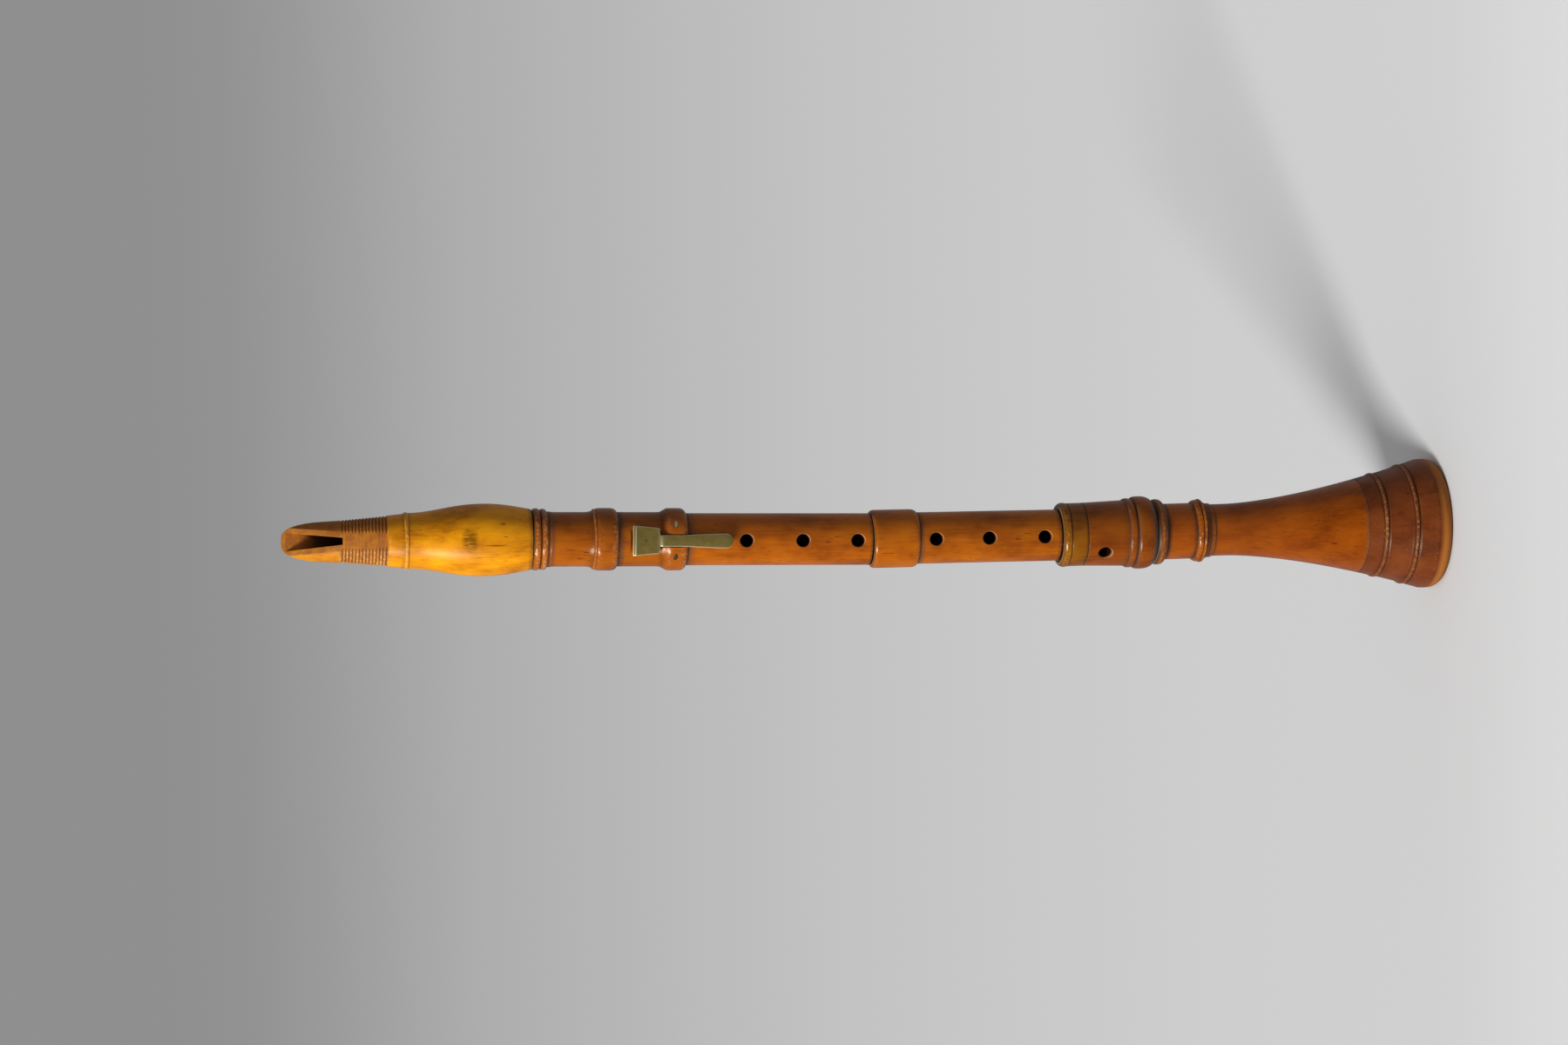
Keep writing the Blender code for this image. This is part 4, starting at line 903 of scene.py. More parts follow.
def pin_drill(key, radius, half):
    """A drill along a key's pin, to a half length on each side."""
    corners = [(0, -half), (radius, -half), (radius, half), (0, half)]
    place = key_place(key) @ Matrix.Rotation(math.pi / 2, 4, "Y")
    return solid_turned("pin_drill", corners, place, steps=PIN_STEPS)


def key_tools(key):
    """The pad seat, hinge slot, spring channel, tone hole and pin hole of one key."""
    slots = [slot_tool(key.pin, key.angle, *slot) for slot in (PAD_SEAT, HINGE_SLOT, SPRING_CHANNEL)]
    hole = drill(upper_place, key.angle, key.pin + PAD_RISE, key.hole, PAD_SEAT[1])
    return slots + [hole, pin_drill(key, PIN_HOLE_RADIUS, RING_CREST)]


upper_place = section_place("middle_turn")
fillet_low, fillet_high = (REAR_PIN + rise for rise in REAR_FILLET[:2])
crown = TOP_BEADS[0][0]
crown_step = [(KEY_TUBE_RADIUS + wider, crown - below) for wider, below in CROWN_STEP]
upper_outline = worn_outline(
    tenon(0, MIDDLE_TENON, -1)[::-1],
    [(UPPER_RADIUS, 0)],
    ring_below(FRONT_PIN, UPPER_RADIUS),
    ogee((RING_CREST, FRONT_PIN + FRONT_SLOPE[0]), (KEY_TUBE_RADIUS, FRONT_PIN + FRONT_SLOPE[1])),
    ring_below(REAR_PIN, KEY_TUBE_RADIUS),
    quarter_along((RING_CREST, REAR_PIN + REAR_CREST_END), (REAR_FILLET[2], fillet_low)),
    bead(*REAR_FILLET[2:], fillet_low, fillet_high),
    quarter_across((REAR_COVE[1], fillet_high + 0.1), (KEY_TUBE_RADIUS, REAR_PIN + REAR_COVE[0])),
    crown_step[:2],
    quarter_along(crown_step[2], (TOP_BEAD_ROOT, crown)),
    *(bead(TOP_BEAD_ROOT, crest, low, high) for low, high, crest in TOP_BEADS),
    tenon(UPPER_TOP, TOP_TENON, 1),
)
upper_lathe = upper_outline, upper_place, (0, UPPER_TOP)
upper = turned("upper_joint_body", *upper_lathe, chips=0.25)
carve(
    upper,
    [drill(upper_place, 0, z, FINGER_HOLE_RADIUS, UPPER_RADIUS) for z in LEFT_HAND_HOLES]
    + [drill(upper_place, *THUMB_HOLE, UPPER_RADIUS), slot_tool(FRONT_PIN, 180, *GUIDE_SLOT)]
    + [tool for key in KEYS for tool in key_tools(key)],
)


def upper_browned_and_shaded(points):
    """Above the front key the wood is handled brown, with painted shade that makes it darker on the
    side away from the lamp; both sides of the tube between the keys are darker too."""
    across_at = points[:, 0] / UPPER_RADIUS
    above = (0.225 + 0.1 * across_at) * np.clip((points[:, 2] - FRONT_PIN) / 25, 0, 1)
    return above + 0.24 * np.abs(across_at) * hump(points[:, 2], (FRONT_PIN + REAR_PIN) / 2, 24, 4)


# Grey dirt lies below the key rings and the two beads, and the lower bead's crest is worn pale.
upper_dirt = [(key.pin - RING_ROUND[0] - 0.7, 1.1, *DIRT_BAND) for key in KEYS]
upper_dirt += [(crown - 1.9, 0.9, *DIRT_BAND)]
finish_wood(
    upper,
    *upper_lathe,
    seams=(0, UPPER_TOP),
    stained=banded(*upper_dirt),
    rubbed=banded((sum(TOP_BEADS[0][:2]) / 2, 0.45, 1.5, 2)),
    browned=upper_browned_and_shaded,
    name="upper_boxwood_finish",
    tone=(0.475, 0.107, 0.001),
    worn=(0.62, 0.36, 0.18),
    stain=(0.12, 0.06, 0.04),
    marks=UPPER_MARKS,
)
ride_as(upper, "upper", "stained_boxwood", "upper_joint")

# Speaker tube
# A short brass tube, pressed into the speaker key's hole to line it. It stands into the bore, so
# that water runs past it.

TUBE_RADII = (1.4, 2.0)
TUBE_ENDS = (4.6, 10.85)
TUBE_RIM = 0.3
BRASS = (0.31, 0.222, 0.050)
BRASS_BROWN = (0.23, 0.165, 0.034)
BRASS_SPECK = (0.10, 0.07, 0.015)
BRASS_PUNCH = (0.05, 0.035, 0.012)
BRASS_DIRT = (0.07, 0.03, 0.015)
BRASS_BRIGHT = (0.92, 0.84, 0.60)


def aged_brass(name, place, punched=()):
    """Brass gone olive with age: brown patches, filed lines along it, bright rubbed edges, which on
    the keys are also painted highlights, and a punch mark at each height given."""
    made, tree, shader = new_material(name)
    spot = in_place(tree, place)
    tarnish = noise(tree, spot, 0.35, 5.0, 0.6)
    filed = grain(tree, spot, 0.05, 6.0, 3.0, 0.6)
    speck = noise(tree, spot, 2.2, 3.0, 0.6)
    punches = [distance(tree, scaled(tree, spot, (1, 0, 1)), (0.2, 0, height)) for height in punched]
    colour = layered(
        tree,
        tinted(tree, ranged(tree, tarnish, 0.35, 0.65), BRASS, BRASS_BROWN),
        (ranged(tree, speck, 0.6, 0.75, 0, 0.6), BRASS_SPECK),
        *((ranged(tree, away, 0.3, 0.55, 0.75, 0.0), BRASS_PUNCH) for away in punches),
        (marked(tree, "grime"), BRASS_DIRT),
        # wear, and on the keys' edges and bevel line a painted highlight
        (marked(tree, "wear"), BRASS_BRIGHT),
    )
    shine = summed(tree, 0.25, (tarnish, 0.2), (filed, 0.12))
    relief = summed(tree, filed, (speck, 0.6))
    finished(tree, shader, colour, shine, relief, strength=0.2, depth=0.06, edge=0.12)
    shader.inputs["Metallic"].default_value = 0.7
    shader.inputs["Specular IOR Level"].default_value = 0.2
    return made


def finish_brass(piece, name, place, sharp_angle=32, punched=(), **marks):
    """Notes a brass piece's marks, shades it smooth and gives it its brass."""
    note(piece, **marks)
    smooth(piece, sharp_angle)
    piece.data.materials.append(aged_brass(name, place, punched))


tube_place = facing(upper_place, 180, REAR_PIN + PAD_RISE)
tube_corners = [(TUBE_RADII[side], TUBE_ENDS[end]) for side, end in ((0, 0), (1, 0), (1, 1), (0, 1))]
tube_outline = worn_outline(tube_corners, softness=0.06)
tube = turned("speaker_tube_liner", tube_outline, tube_place, steps=DRILL_STEPS)
tube_rim = local_points(tube, tube_place)[:, 2] > TUBE_ENDS[1] - TUBE_RIM
finish_brass(tube, "speaker_tube_brass", tube_place, wear=0.7 * tube_rim)
ride_as(tube, "upper", "aged_brass", "speaker_tube")

# Tenon lappings
# Waxed linen thread, wound close in the groove of each tenon by hand. It makes the tenon a tight
# fit in its socket and is renewed when it wears.

THREAD_PITCH = 0.55
THREAD_RISE = 0.22
THREAD_GAP = 0.2
THREAD_STEPS = (96, 8)
ROUND_ANGLE = 60
LAPPING_RADII = (8.85, 9.5)
LINEN = (0.50, 0.37, 0.20)
LINEN_WAXED = (0.30, 0.18, 0.08)
LINEN_FIBRE = (0.62, 0.52, 0.36)
LAPPINGS = (
    ("bell_tenon_lapping", "bell_tenon_carrier", foot_place, 0, BELL_TENON, -1),
    ("foot_tenon_lapping", "foot_tenon_carrier", lower_place, 0, FOOT_TENON, -1),
    ("middle_tenon_lapping", "middle_tenon_carrier", upper_place, 0, MIDDLE_TENON, -1),
    ("top_tenon_lapping", "top_tenon_carrier", upper_place, UPPER_TOP, TOP_TENON, 1),
)


def wound_thread(name, low, high, place):
    """Thread wound round a tenon: the radius follows half waves of z less one pitch for each turn."""
    inner, outer = LAPPING_RADII
    angle = round_angles(THREAD_STEPS[0])
    level = np.linspace(low, high, int((high - low) / THREAD_PITCH * THREAD_STEPS[1]))[:, None]
    strand = np.abs(np.sin(np.pi * (level / THREAD_PITCH - angle / (2 * np.pi))))
    radius = outer - THREAD_RISE + THREAD_RISE * np.sqrt(strand)
    radius = np.vstack([radius, np.full((2, len(angle)), inner)])
    return skin(name, round_grid(radius, angle, np.vstack([level, [[high], [low]]])), place, closed=True)


def waxed_thread(name, place):
    """Linen thread darkened by wax and cork grease."""
    made, tree, shader = new_material(name)
    spot = in_place(tree, place)
    soiled = noise(tree, spot, 0.35, 4.0)
    fibre = grain(tree, spot, 4, 3.0, 3.0, 0.7)
    colour = tinted(tree, ranged(tree, soiled, 0.35, 0.65), LINEN, LINEN_WAXED)
    colour = tinted(tree, ranged(tree, fibre, 0.5, 0.8, 0, 0.5), colour, LINEN_FIBRE)
    shine = ranged(tree, soiled, 0.3, 0.7, 0.85, 0.6)
    finished(tree, shader, colour, shine, fibre, strength=0.4, depth=0.08)
    return made


for title, body, place, shoulder, length, way in LAPPINGS:
    lands = LAPPING_LAND + THREAD_GAP, length - LAPPING_LAND - THREAD_GAP
    thread = wound_thread(title + "_thread", *sorted(shoulder + way * land for land in lands), place)
    smooth(thread, ROUND_ANGLE)
    thread.data.materials.append(waxed_thread(title + "_finish", place))
    ride_as(thread, body, "waxed_thread", title)

# Keys
# Two brass keys, cast and filed: a square flap with a bevelled end, a neck that turns on a pin in
# its ring, and a touch for the finger. The front one is seen; the speaker key is at the back.

FLAP = (7.9, 19.7, 0.75, 2.05, 5.8, 6.9)
FLAP_BEVEL = 1.2
FLAP_BEVEL_SLOPE = 0.5
FLAP_BEVEL_MARGIN = 0.6
FLAP_SHOULDER = (0.5, 0.2, 0.4)
FLAP_RAMP = (1.6, 0.3)
FLAP_UNDERCUT = 1.3
KEY_NECK = 2.6
KEY_BRIDGE = (1.3, 2.6)
KEY_BOSS = (2.6, -1.5)
KEY_BOSS_RUN = 1.3
TOUCH_WIDEST = 0.75
KEY_EDGE = 0.45
TIP_LIFT = 0.25
PIN_RADIUS = 0.85
PIN_RUN = (0.3, 6.0)
TOUCHES = {"front_key": (25.8, 3.9, 3.3), "speaker_key": (46.0, 6.9, 3.4)}


def strip(name, along, half, under, over, edge, place):
    """A bar through rounded rectangles: at each point along it a half width, an underside and a top."""
    arc = np.linspace(0, np.pi / 2, 5)
    turn = np.concatenate([arc + quarter_turn * np.pi / 2 for quarter_turn in range(4)])
    corner_x = np.repeat([1, -1, -1, 1], 5)
    corner_y = np.repeat([1, 1, -1, -1], 5)
    edge = np.minimum(edge, np.minimum(half, (over - under) / 2) * 0.95)[:, None]
    middle, rise = (over + under)[:, None] / 2, (over - under)[:, None] / 2
    x = corner_x * (half[:, None] - edge) + edge * np.cos(turn)
    y = middle + corner_y * (rise - edge) + edge * np.sin(turn)
    return loft(name, np.stack([x, -y, along[:, None] + 0 * x], axis=-1), place)


def touch_rise(far, reach, rise):
    """How much higher a touch is than its bridge at a distance from the pin: a straight slope."""
    return (rise - KEY_BRIDGE[1]) / (reach - KEY_BOSS[0]) * np.clip(far - KEY_BOSS[0], 0, None)


def key_outline(reach, rise, touch_half):
    """Along, half width, underside and top of a key, from its flap's end to its touch's end: straight
    runs between a few places, and an ellipse at the touch's end."""
    low, high, under, over, half_low, half_high = FLAP
    bevel_end, neck_start = high - FLAP_BEVEL - FLAP_BEVEL_MARGIN, low - FLAP_SHOULDER[0]
    boss_end, tip_start = -KEY_BOSS[0] - KEY_BOSS_RUN, -reach + touch_half
    bevel = np.linspace(high, bevel_end, 13)
    flap = np.linspace(bevel_end, low, 12)[1:]
    shoulder = np.linspace(low, neck_start, 7)[1:]
    neck = np.linspace(neck_start, boss_end, 40)[1:]
    touch = np.linspace(boss_end, tip_start, 24)[1:]
    tip = tip_start - touch_half * np.sin(np.linspace(0, np.pi / 2, 16))[1:]
    along = np.concatenate([bevel, flap, shoulder, neck, touch, tip])
    shoulder_at, shoulder_half = low - FLAP_SHOULDER[1], half_low - FLAP_SHOULDER[2]
    halves = [KEY_NECK, shoulder_half, half_low, half_high]
    half = np.interp(along, [neck_start, shoulder_at, low, high], halves)
    widening = np.interp(along, [-reach * TOUCH_WIDEST, -KEY_BOSS[0]], [touch_half, KEY_NECK])
    half = np.where(along < 0, widening, half)
    end = np.clip((tip_start - along) / touch_half, 0, 0.999)
    half = half * np.sqrt(1 - end**2)
    bridge = KEY_BRIDGE[1] + touch_rise(-along, reach, rise)
    top = np.interp(along, [low - FLAP_RAMP[0], low - FLAP_RAMP[1]], [0, 1])
    bevelled = np.clip(along - high + FLAP_BEVEL, 0, None) * FLAP_BEVEL_SLOPE
    top = bridge * (1 - top) + over * top - bevelled
    bottom = bridge - (KEY_BRIDGE[1] - KEY_BRIDGE[0])
    bottom = np.where(along > low - FLAP_UNDERCUT, under, bottom)
    bottom = np.where(np.abs(along) < KEY_BOSS[0], KEY_BOSS[1], bottom) + TIP_LIFT * end**2
    return along, half, bottom, top


for key in KEYS:
    place = key_place(key)
    along, half, bottom, top = key_outline(*TOUCHES[key.name])
    lever = strip(key.name + "_lever", along, half, bottom, top, KEY_EDGE, place)
    carve(lever, [pin_drill(key, PIN_RADIUS + PIN_RUN[0], PIN_RUN[1])])
    x, y, z = local_points(lever, place).T
    # Edges, the flap's end and the bevel's line are painted bright: painted highlights over their wear.
    edge_gap, end_gap = np.interp(-z, -along, half) - np.abs(x), FLAP[1] - z
    filed = hump(z, FLAP[0] - 0.9, 1.6) * (0.4 + 0.6 * np.sin(7 * x + 5 * z) ** 2)
    bevel_line = hump(end_gap, FLAP_BEVEL, 0.2)
    on_top = np.maximum(0.3 * filed, 0.7 * bevel_line) * (y < -1)
    worn = np.maximum.reduce([hump(edge_gap, 0, 0.24), hump(end_gap, 0, 0.22), on_top])
    finish_brass(lever, key.name + "_brass", place, 30, [sum(FLAP[:2]) / 2], wear=worn)
    ride_as(lever, key.name, "aged_brass", key.name)

# Key pins
# A brass pin through each ring, on which its key turns. It is driven in, cut off and filed flush,
# so that each end follows the ring's round.

PIN_PROUD = 0.05
PIN_ROUND = 0.1
PIN_END = 6


def flush_pin(name, place):
    """A pin across its ring: x is where a circle of the ring's radius cuts the pin's own outline."""
    angle = round_angles(40)
    share = np.array([0, 0.4, 0.8, 0.95, 1, 1, 0.95, 0.8, 0.4, 0])[:, None]
    side = np.repeat([-1, 1], 5)[:, None]
    y = PIN_RADIUS * share * np.cos(angle)
    x = side * (np.sqrt((RING_CREST + PIN_PROUD) ** 2 - (PIN_DEPTH - y) ** 2) - PIN_ROUND * share**4)
    return welded(skin(name, np.stack([x, y, PIN_RADIUS * share * np.sin(angle)], axis=-1), place))


for key in KEYS:
    place = key_place(key)
    hinge_pin = flush_pin(key.name + "_hinge_pin", place)
    x, y, z = local_points(hinge_pin, place).T
    hammered = np.where(x > PIN_END, 0.5 + 0.45 * np.sin(9 * y + 5 * z), 0.0)
    finish_brass(hinge_pin, key.name + "_pin_brass", place, wear=hammered, grime=0.8 * (x < -PIN_END))
    ride_as(hinge_pin, "upper", "aged_brass", key.name + "_pin")

# Key pads
# Squares of kid leather stuffed with wool and glued under the flaps, flat above and crowned below,
# with a faint ring where each has closed on its hole.

PAD_HALF = 5.2
PAD_LEVELS = (-0.7, 0.6)
PAD_SQUARENESS = 7
PAD_PULL = 0.035
PAD_FULLNESS = (0.45, 0.7)
PAD_LIFT = 0.12
PAD_CROWN = 0.10
PAD_PRINT = (0.07, 0.45)
PAD_STEPS = (96, 41)
KID = (0.60, 0.47, 0.32)
KID_SOILED = (0.38, 0.27, 0.16)


def stuffed_pad(name, place, hole):
    """A square pad: a superellipse in plan whose sides pull in, shrinking to nothing above and below."""
    around = round_angles(PAD_STEPS[0])
    rise = np.linspace(-np.pi / 2, np.pi / 2, PAD_STEPS[1])[:, None]
    plan = np.abs(np.cos(around)) ** PAD_SQUARENESS + np.abs(np.sin(around)) ** PAD_SQUARENESS
    plan = PAD_HALF * plan ** (-1 / PAD_SQUARENESS) * (1 - PAD_PULL * np.cos(2 * around) ** 2)
    reach = plan * np.cos(rise) ** PAD_FULLNESS[0]
    middle, half = sum(PAD_LEVELS) / 2, (PAD_LEVELS[1] - PAD_LEVELS[0]) / 2
    level = middle + half * np.sign(np.sin(rise)) * np.abs(np.sin(rise)) ** PAD_FULLNESS[1] + 0 * around
    crown_below = PAD_CROWN * np.clip(1 - (reach / PAD_HALF) ** 2, 0, 1)
    print_of_hole = PAD_PRINT[0] * hump(reach, hole, PAD_PRINT[1])
    level = level + (PAD_LIFT - crown_below + print_of_hole) * (rise < 0)
    grid = np.stack([reach * np.cos(around), -level, PAD_RISE + reach * np.sin(around)], axis=-1)
    return welded(skin(name, grid, place))


def kid_leather(name, place):
    """Pale kid skin gone yellow and grey, with fine pores."""
    made, tree, shader = new_material(name)
    spot = in_place(tree, place)
    soiled = noise(tree, spot, 0.3, 4.0)
    pores = node(tree, "TexVoronoi", Vector=spot, Scale=3.5).outputs[0]
    colour = tinted(tree, ranged(tree, soiled, 0.3, 0.7), KID, KID_SOILED)
    shine = ranged(tree, pores, 0.0, 0.6, 0.8, 0.6)
    finished(tree, shader, colour, shine, pores, strength=0.35, depth=0.05)
    return made


for key in KEYS:
    place = key_place(key)
    pad = stuffed_pad(key.name + "_leather_pad", place, key.hole)
    smooth(pad, ROUND_ANGLE)
    pad.data.materials.append(kid_leather(key.name + "_leather", place))
    ride_as(pad, key.name, "kid_leather", key.name + "_pad")

# Key springs
# A leaf of hammered brass under each touch, held by a rivet. Its free end rests on the floor of a
# channel and presses the flap shut.

SPRING_FROM = 8.6
SPRING_BEND = 11.8
SPRING_REACH = 22.6
SPRING_HALF = (1.7, 1.45)
SPRING_THICKNESS = 0.45
SPRING_EDGE = 0.12
SPRING_END = -0.9
SPRING_POWER = 1.5
RIVET_AT = 10.2
RIVET_RADII = (0.75, 1.25)
RIVET_HEAD = 0.45
RIVET_ROUND = (0.6, 0.15)
RIVET_WORN = 0.2

for key in KEYS:
    place = key_place(key)
    reach, rise, _ = TOUCHES[key.name]
    # The leaf is straight as far as its bend, and then drops by a power of the way.
    along = np.linspace(SPRING_FROM, SPRING_REACH, 60)
    share = np.clip((along - SPRING_BEND) / (SPRING_REACH - SPRING_BEND), 0, 1)
    spring_top = KEY_BRIDGE[0] + touch_rise(SPRING_FROM, reach, rise) - GLUE_GAP
    over = spring_top - (spring_top - SPRING_THICKNESS - SPRING_END) * share**SPRING_POWER
    half = SPRING_HALF[0] + (SPRING_HALF[1] - SPRING_HALF[0]) * share
    under = over - SPRING_THICKNESS
    spring = strip(key.name + "_leaf_spring", -along, half, under, over, SPRING_EDGE, place)
    finish_brass(spring, key.name + "_spring_brass", place, 40)
    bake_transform(spring)
    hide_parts(key.name + "_spring")

    head = spring_top - SPRING_THICKNESS - GLUE_GAP
    stem = KEY_BRIDGE[1] + touch_rise(RIVET_AT, reach, rise) - GLUE_GAP
    thin, wide = RIVET_RADII
    flat, edge = RIVET_ROUND
    corners = [(0, head - RIVET_HEAD), (wide * flat, head - RIVET_HEAD), (wide, head - edge)]
    corners += [(wide, head), (thin, head), (thin, stem), (0, stem)]
    rivet_place = place @ Matrix.Translation((0, 0, -RIVET_AT * MM)) @ Matrix.Rotation(math.pi / 2, 4, "X")
    rivet = solid_turned(key.name + "_rivet", corners, rivet_place, steps=PIN_STEPS)
    rubbed = np.full(len(rivet.data.vertices), RIVET_WORN)
    finish_brass(rivet, key.name + "_rivet_brass", place, wear=rubbed)
    ride_as(rivet, key.name, "aged_brass", key.name + "_spring_rivet")

# Mouthpiece and barrel
# Turned from one piece of paler boxwood: a round barrel, a bead, and a cone grooved for the string
# that binds the reed. The table, the window and the sloping beak are then cut by hand.

MOUTHPIECE_LEAN = math.radians(-0.68)
MOUTHPIECE_TURN = math.radians(5.0)
BARREL_END = 13.75
BARREL_WIDEST = (16.4, 21.0)
BARREL_NECK = (12.6, 55.0)
MOUTHPIECE_BEAD = (55.4, 57.3, 12.95, 12.35)
CONE_COLLAR = (12.25, 57.7, 11.5, 64.6)
STRING_GROOVES = (14, 64.7, 1.5, 0.55)
GROOVE_NICK = (0.5, 0.75, 0.95, 1.2, 0.05)
CONE = (11.3, 9.5, 85.7)
TIP = (8.0, 112.1)
MOUTHPIECE_SOCKET = (10.04, 20.8)
LAY = (10.45, math.tan(math.radians(5.5)), 1.0)
BEAK = (1.3, math.tan(math.radians(18.8)), 2.2 / math.cos(math.radians(18.8)))
WINDOW = (84.9, 109.9, 1.6, 4.1)
THROAT = (69.9, 3.6)
TIP_ROUND = (18.5, 0.28)
FAR = 9
BARREL_MARKS = ((-0.5, 28.6, 6.6, 4.3), (-3.2, 17.0, 0.4, 6.0), (6.6, 13.6, 0.7, 1.6))


def bulge(start, end):
    """A swelling that rises steadily from its start and levels out at its end: a quarter sine wave."""
    share = np.linspace(0, 1, 25)
    return between(start, end, np.sin(np.pi / 2 * share), share)


def lay_depth(height):
    """How far the lay is in front of the axis: a flat table, then a slow curve away to the tip."""
    share = np.clip((height - WINDOW[0]) / (TIP[1] - WINDOW[0]), 0, None)
    return LAY[0] - (height - STRING_GROOVES[1]) * LAY[1] - LAY[2] * share**2


def beak_depth(height):
    """How far the beak is behind the axis: a straight slope, less than nothing near the tip."""
    return BEAK[0] - lay_depth(TIP[1]) + (TIP[1] - height) * BEAK[1]


def tip_half(height):
    """Half the width near the tip, seen from the front: the cone's radius times a power of a parabola."""
    share = np.clip((TIP[1] - height) / TIP_ROUND[0], 0, 1)
    cone = np.interp(height, [CONE[2], TIP[1]], [CONE[1], TIP[0]])
    return cone * (1 - (1 - share) ** 2) ** TIP_ROUND[1]


def grooved_cone():
    """The cone's outline with its grooves, each a round-bottomed nick between flat lands."""
    count, low, pitch, depth = STRING_GROOVES
    land, floor_from, floor_to, rise_end, worn = GROOVE_NICK
    base = low + pitch * np.arange(count)
    radius = np.interp(base, [low, CONE[2]], CONE[:2])
    corners = [(radius, base), (radius, base + land), (radius - depth, base + floor_from)]
    corners += [(radius - depth, base + floor_to), (radius - worn, base + rise_end)]
    return np.stack([np.column_stack(corner) for corner in corners], axis=1).reshape(-1, 2)


def mouthpiece_tools():
    """What is cut away: the front of the lay, the back of the beak, the window and the throat."""
    far, end = 2 * BARREL_WIDEST[0], TIP[1] + 1
    lay_levels = np.linspace(STRING_GROOVES[1] - 0.1, end, 30)
    beak_levels = end - BARREL_WIDEST[0] / BEAK[1], end
    throat_levels = THROAT[0] - 1, WINDOW[0] + 1
    throat_front = THROAT[1] - lay_depth(throat_levels[1])
    throat_backs = BORE_RADIUS - 1, beak_depth(throat_levels[1]) - BEAK[2]
    tools = {
        "lay_tool": [(far, -far, -lay_depth(z), z) for z in lay_levels],
        "beak_tool": [(far, beak_depth(z), far, z) for z in beak_levels],
        "window_tool": [
            (half, -far, beak_depth(z) - BEAK[2], z) for z, half in zip(WINDOW[:2], WINDOW[2:])
        ],
        "throat_tool": [
            (WINDOW[2], throat_front, back, z) for z, back in zip(throat_levels, throat_backs)
        ],
    }
    return [loft(name, [across(*at) for at in cuts], mouthpiece_place) for name, cuts in tools.items()]


def mouthpiece_stain_and_light(points):
    """Lips and fingers have stained the cone and the lay brown; on the lower side of the beak, the
    lit side, the stain is painted lighter as painted light.
    """
    x, y, z = points.T
    lit_side_spared = np.clip((-x - 3) / 3, 0, 1) * (z > CONE[2]) * (y + lay_depth(z) > 0.3)
    return (0.75 - 0.4 * lit_side_spared) * np.clip((z - STRING_GROOVES[1] + 0.2) / 0.5, 0, 1)


def mouthpiece_lit_lands_highlight(points):
    """The lands between the grooves are painted pale on the left, the lit side, as a painted highlight."""
    low, pitch = STRING_GROOVES[1:3]
    x, y, z = points.T
    lands = 0.5 + 0.5 * np.cos(2 * np.pi * (z - low - 0.25) / pitch)
    return 1.2 * lands * np.clip((-x - 3) / 4, 0, 1) * (z > low) * (z < CONE[2]) * (y + lay_depth(z) > 0.2)


def mouthpiece_flats(points):
    """Depths under the lay, under the beak's slope and behind the tip's sides; FAR is away from them."""
    x, y, z = points.T
    slope, side = beak_depth(z) - y, tip_half(z) - np.abs(x)
    above = z > STRING_GROOVES[1]
    return [
        np.where(above, y + lay_depth(z), FAR),
        np.where(above & (slope < 1), slope, FAR),
        np.where((z > tip_start) & (side < 1), side, FAR),
    ]


leaned = Matrix.Rotation(MOUTHPIECE_LEAN, 4, "Y") @ Matrix.Rotation(MOUTHPIECE_TURN, 4, "Z")
mouthpiece_place = section_place("mouthpiece_turn") @ leaned
mouthpiece_outline = worn_outline(
    [(0, THROAT[0]), (BORE_RADIUS, THROAT[0]), (BORE_RADIUS, MOUTHPIECE_SOCKET[1])],
    [MOUTHPIECE_SOCKET, (MOUTHPIECE_SOCKET[0], 0)],
    bulge((BARREL_END, 0), BARREL_WIDEST),
    ogee(BARREL_WIDEST, BARREL_NECK, 1.15),
    bead(MOUTHPIECE_BEAD[3], MOUTHPIECE_BEAD[2], *MOUTHPIECE_BEAD[:2]),
    [CONE_COLLAR[:2], CONE_COLLAR[2:]],
    grooved_cone(),
    [CONE[1:], TIP, (0, TIP[1])],
    softness=0.1,
    closed=False,
)
mouthpiece = welded(
    turned("mouthpiece_and_barrel", mouthpiece_outline, mouthpiece_place, closed=False, chips=0.08)
)
deep = BARREL_WIDEST[0] + 2
tip_start = TIP[1] - TIP_ROUND[0]
tip_levels = TIP[1] - TIP_ROUND[0] * np.linspace(1, 0.03, 40) ** 2
tip_tool = [across(deep, -deep, deep, z) for z in (-5, tip_start - 0.2)]
tip_tool += [across(tip_half(z) + 0.03, -deep, deep, z) for z in tip_levels]
carve(mouthpiece, [loft("tip_tool", tip_tool, mouthpiece_place)], "INTERSECT")
carve(mouthpiece, mouthpiece_tools())
# The window and bore are darkened from 0.8 mm below the outside as painted shade; the lit lands take the
# worn colour as a painted highlight, and the stain is painted lighter on the lit side.
finish_wood(
    mouthpiece,
    mouthpiece_outline,
    mouthpiece_place,
    (0, TIP[1]),
    flats=mouthpiece_flats,
    seams=(0,),
    stained=mouthpiece_stain_and_light,
    rubbed=mouthpiece_lit_lands_highlight,
    name="mouthpiece_boxwood_finish",
    tone=(0.81, 0.292, 0.002),
    worn=(0.80, 0.48, 0.18),
    stain=(0.26, 0.070, 0.026),
    gloss=0.36,
    polish=0.36,
    lip=0.0,
    inside=(0.8, 3.4),
    marks=BARREL_MARKS,
    mottle=0.25,
)
ride_as(mouthpiece, "mouthpiece", "pale_boxwood", "mouthpiece_barrel")

# Floor
# A plain pale floor whose colour is painted a little lighter in front and darker evenly into the
# distance, as painted shade; far off it glows with the grey of the room, so that no horizon shows.

FLOOR_REACH = 120.0
FLOOR_SHADES = ((0.12, 0.86), (0.2, 0.74), (0.3, 0.725), (0.48, 0.65), (0.7, 0.515), (1.0, 0.38))
FLOOR_FRONT = -0.45
FLOOR_FADE = (0.5, 2.5)
FLOOR_BOUNCE = 0.28
ROOM_GREY = 0.275


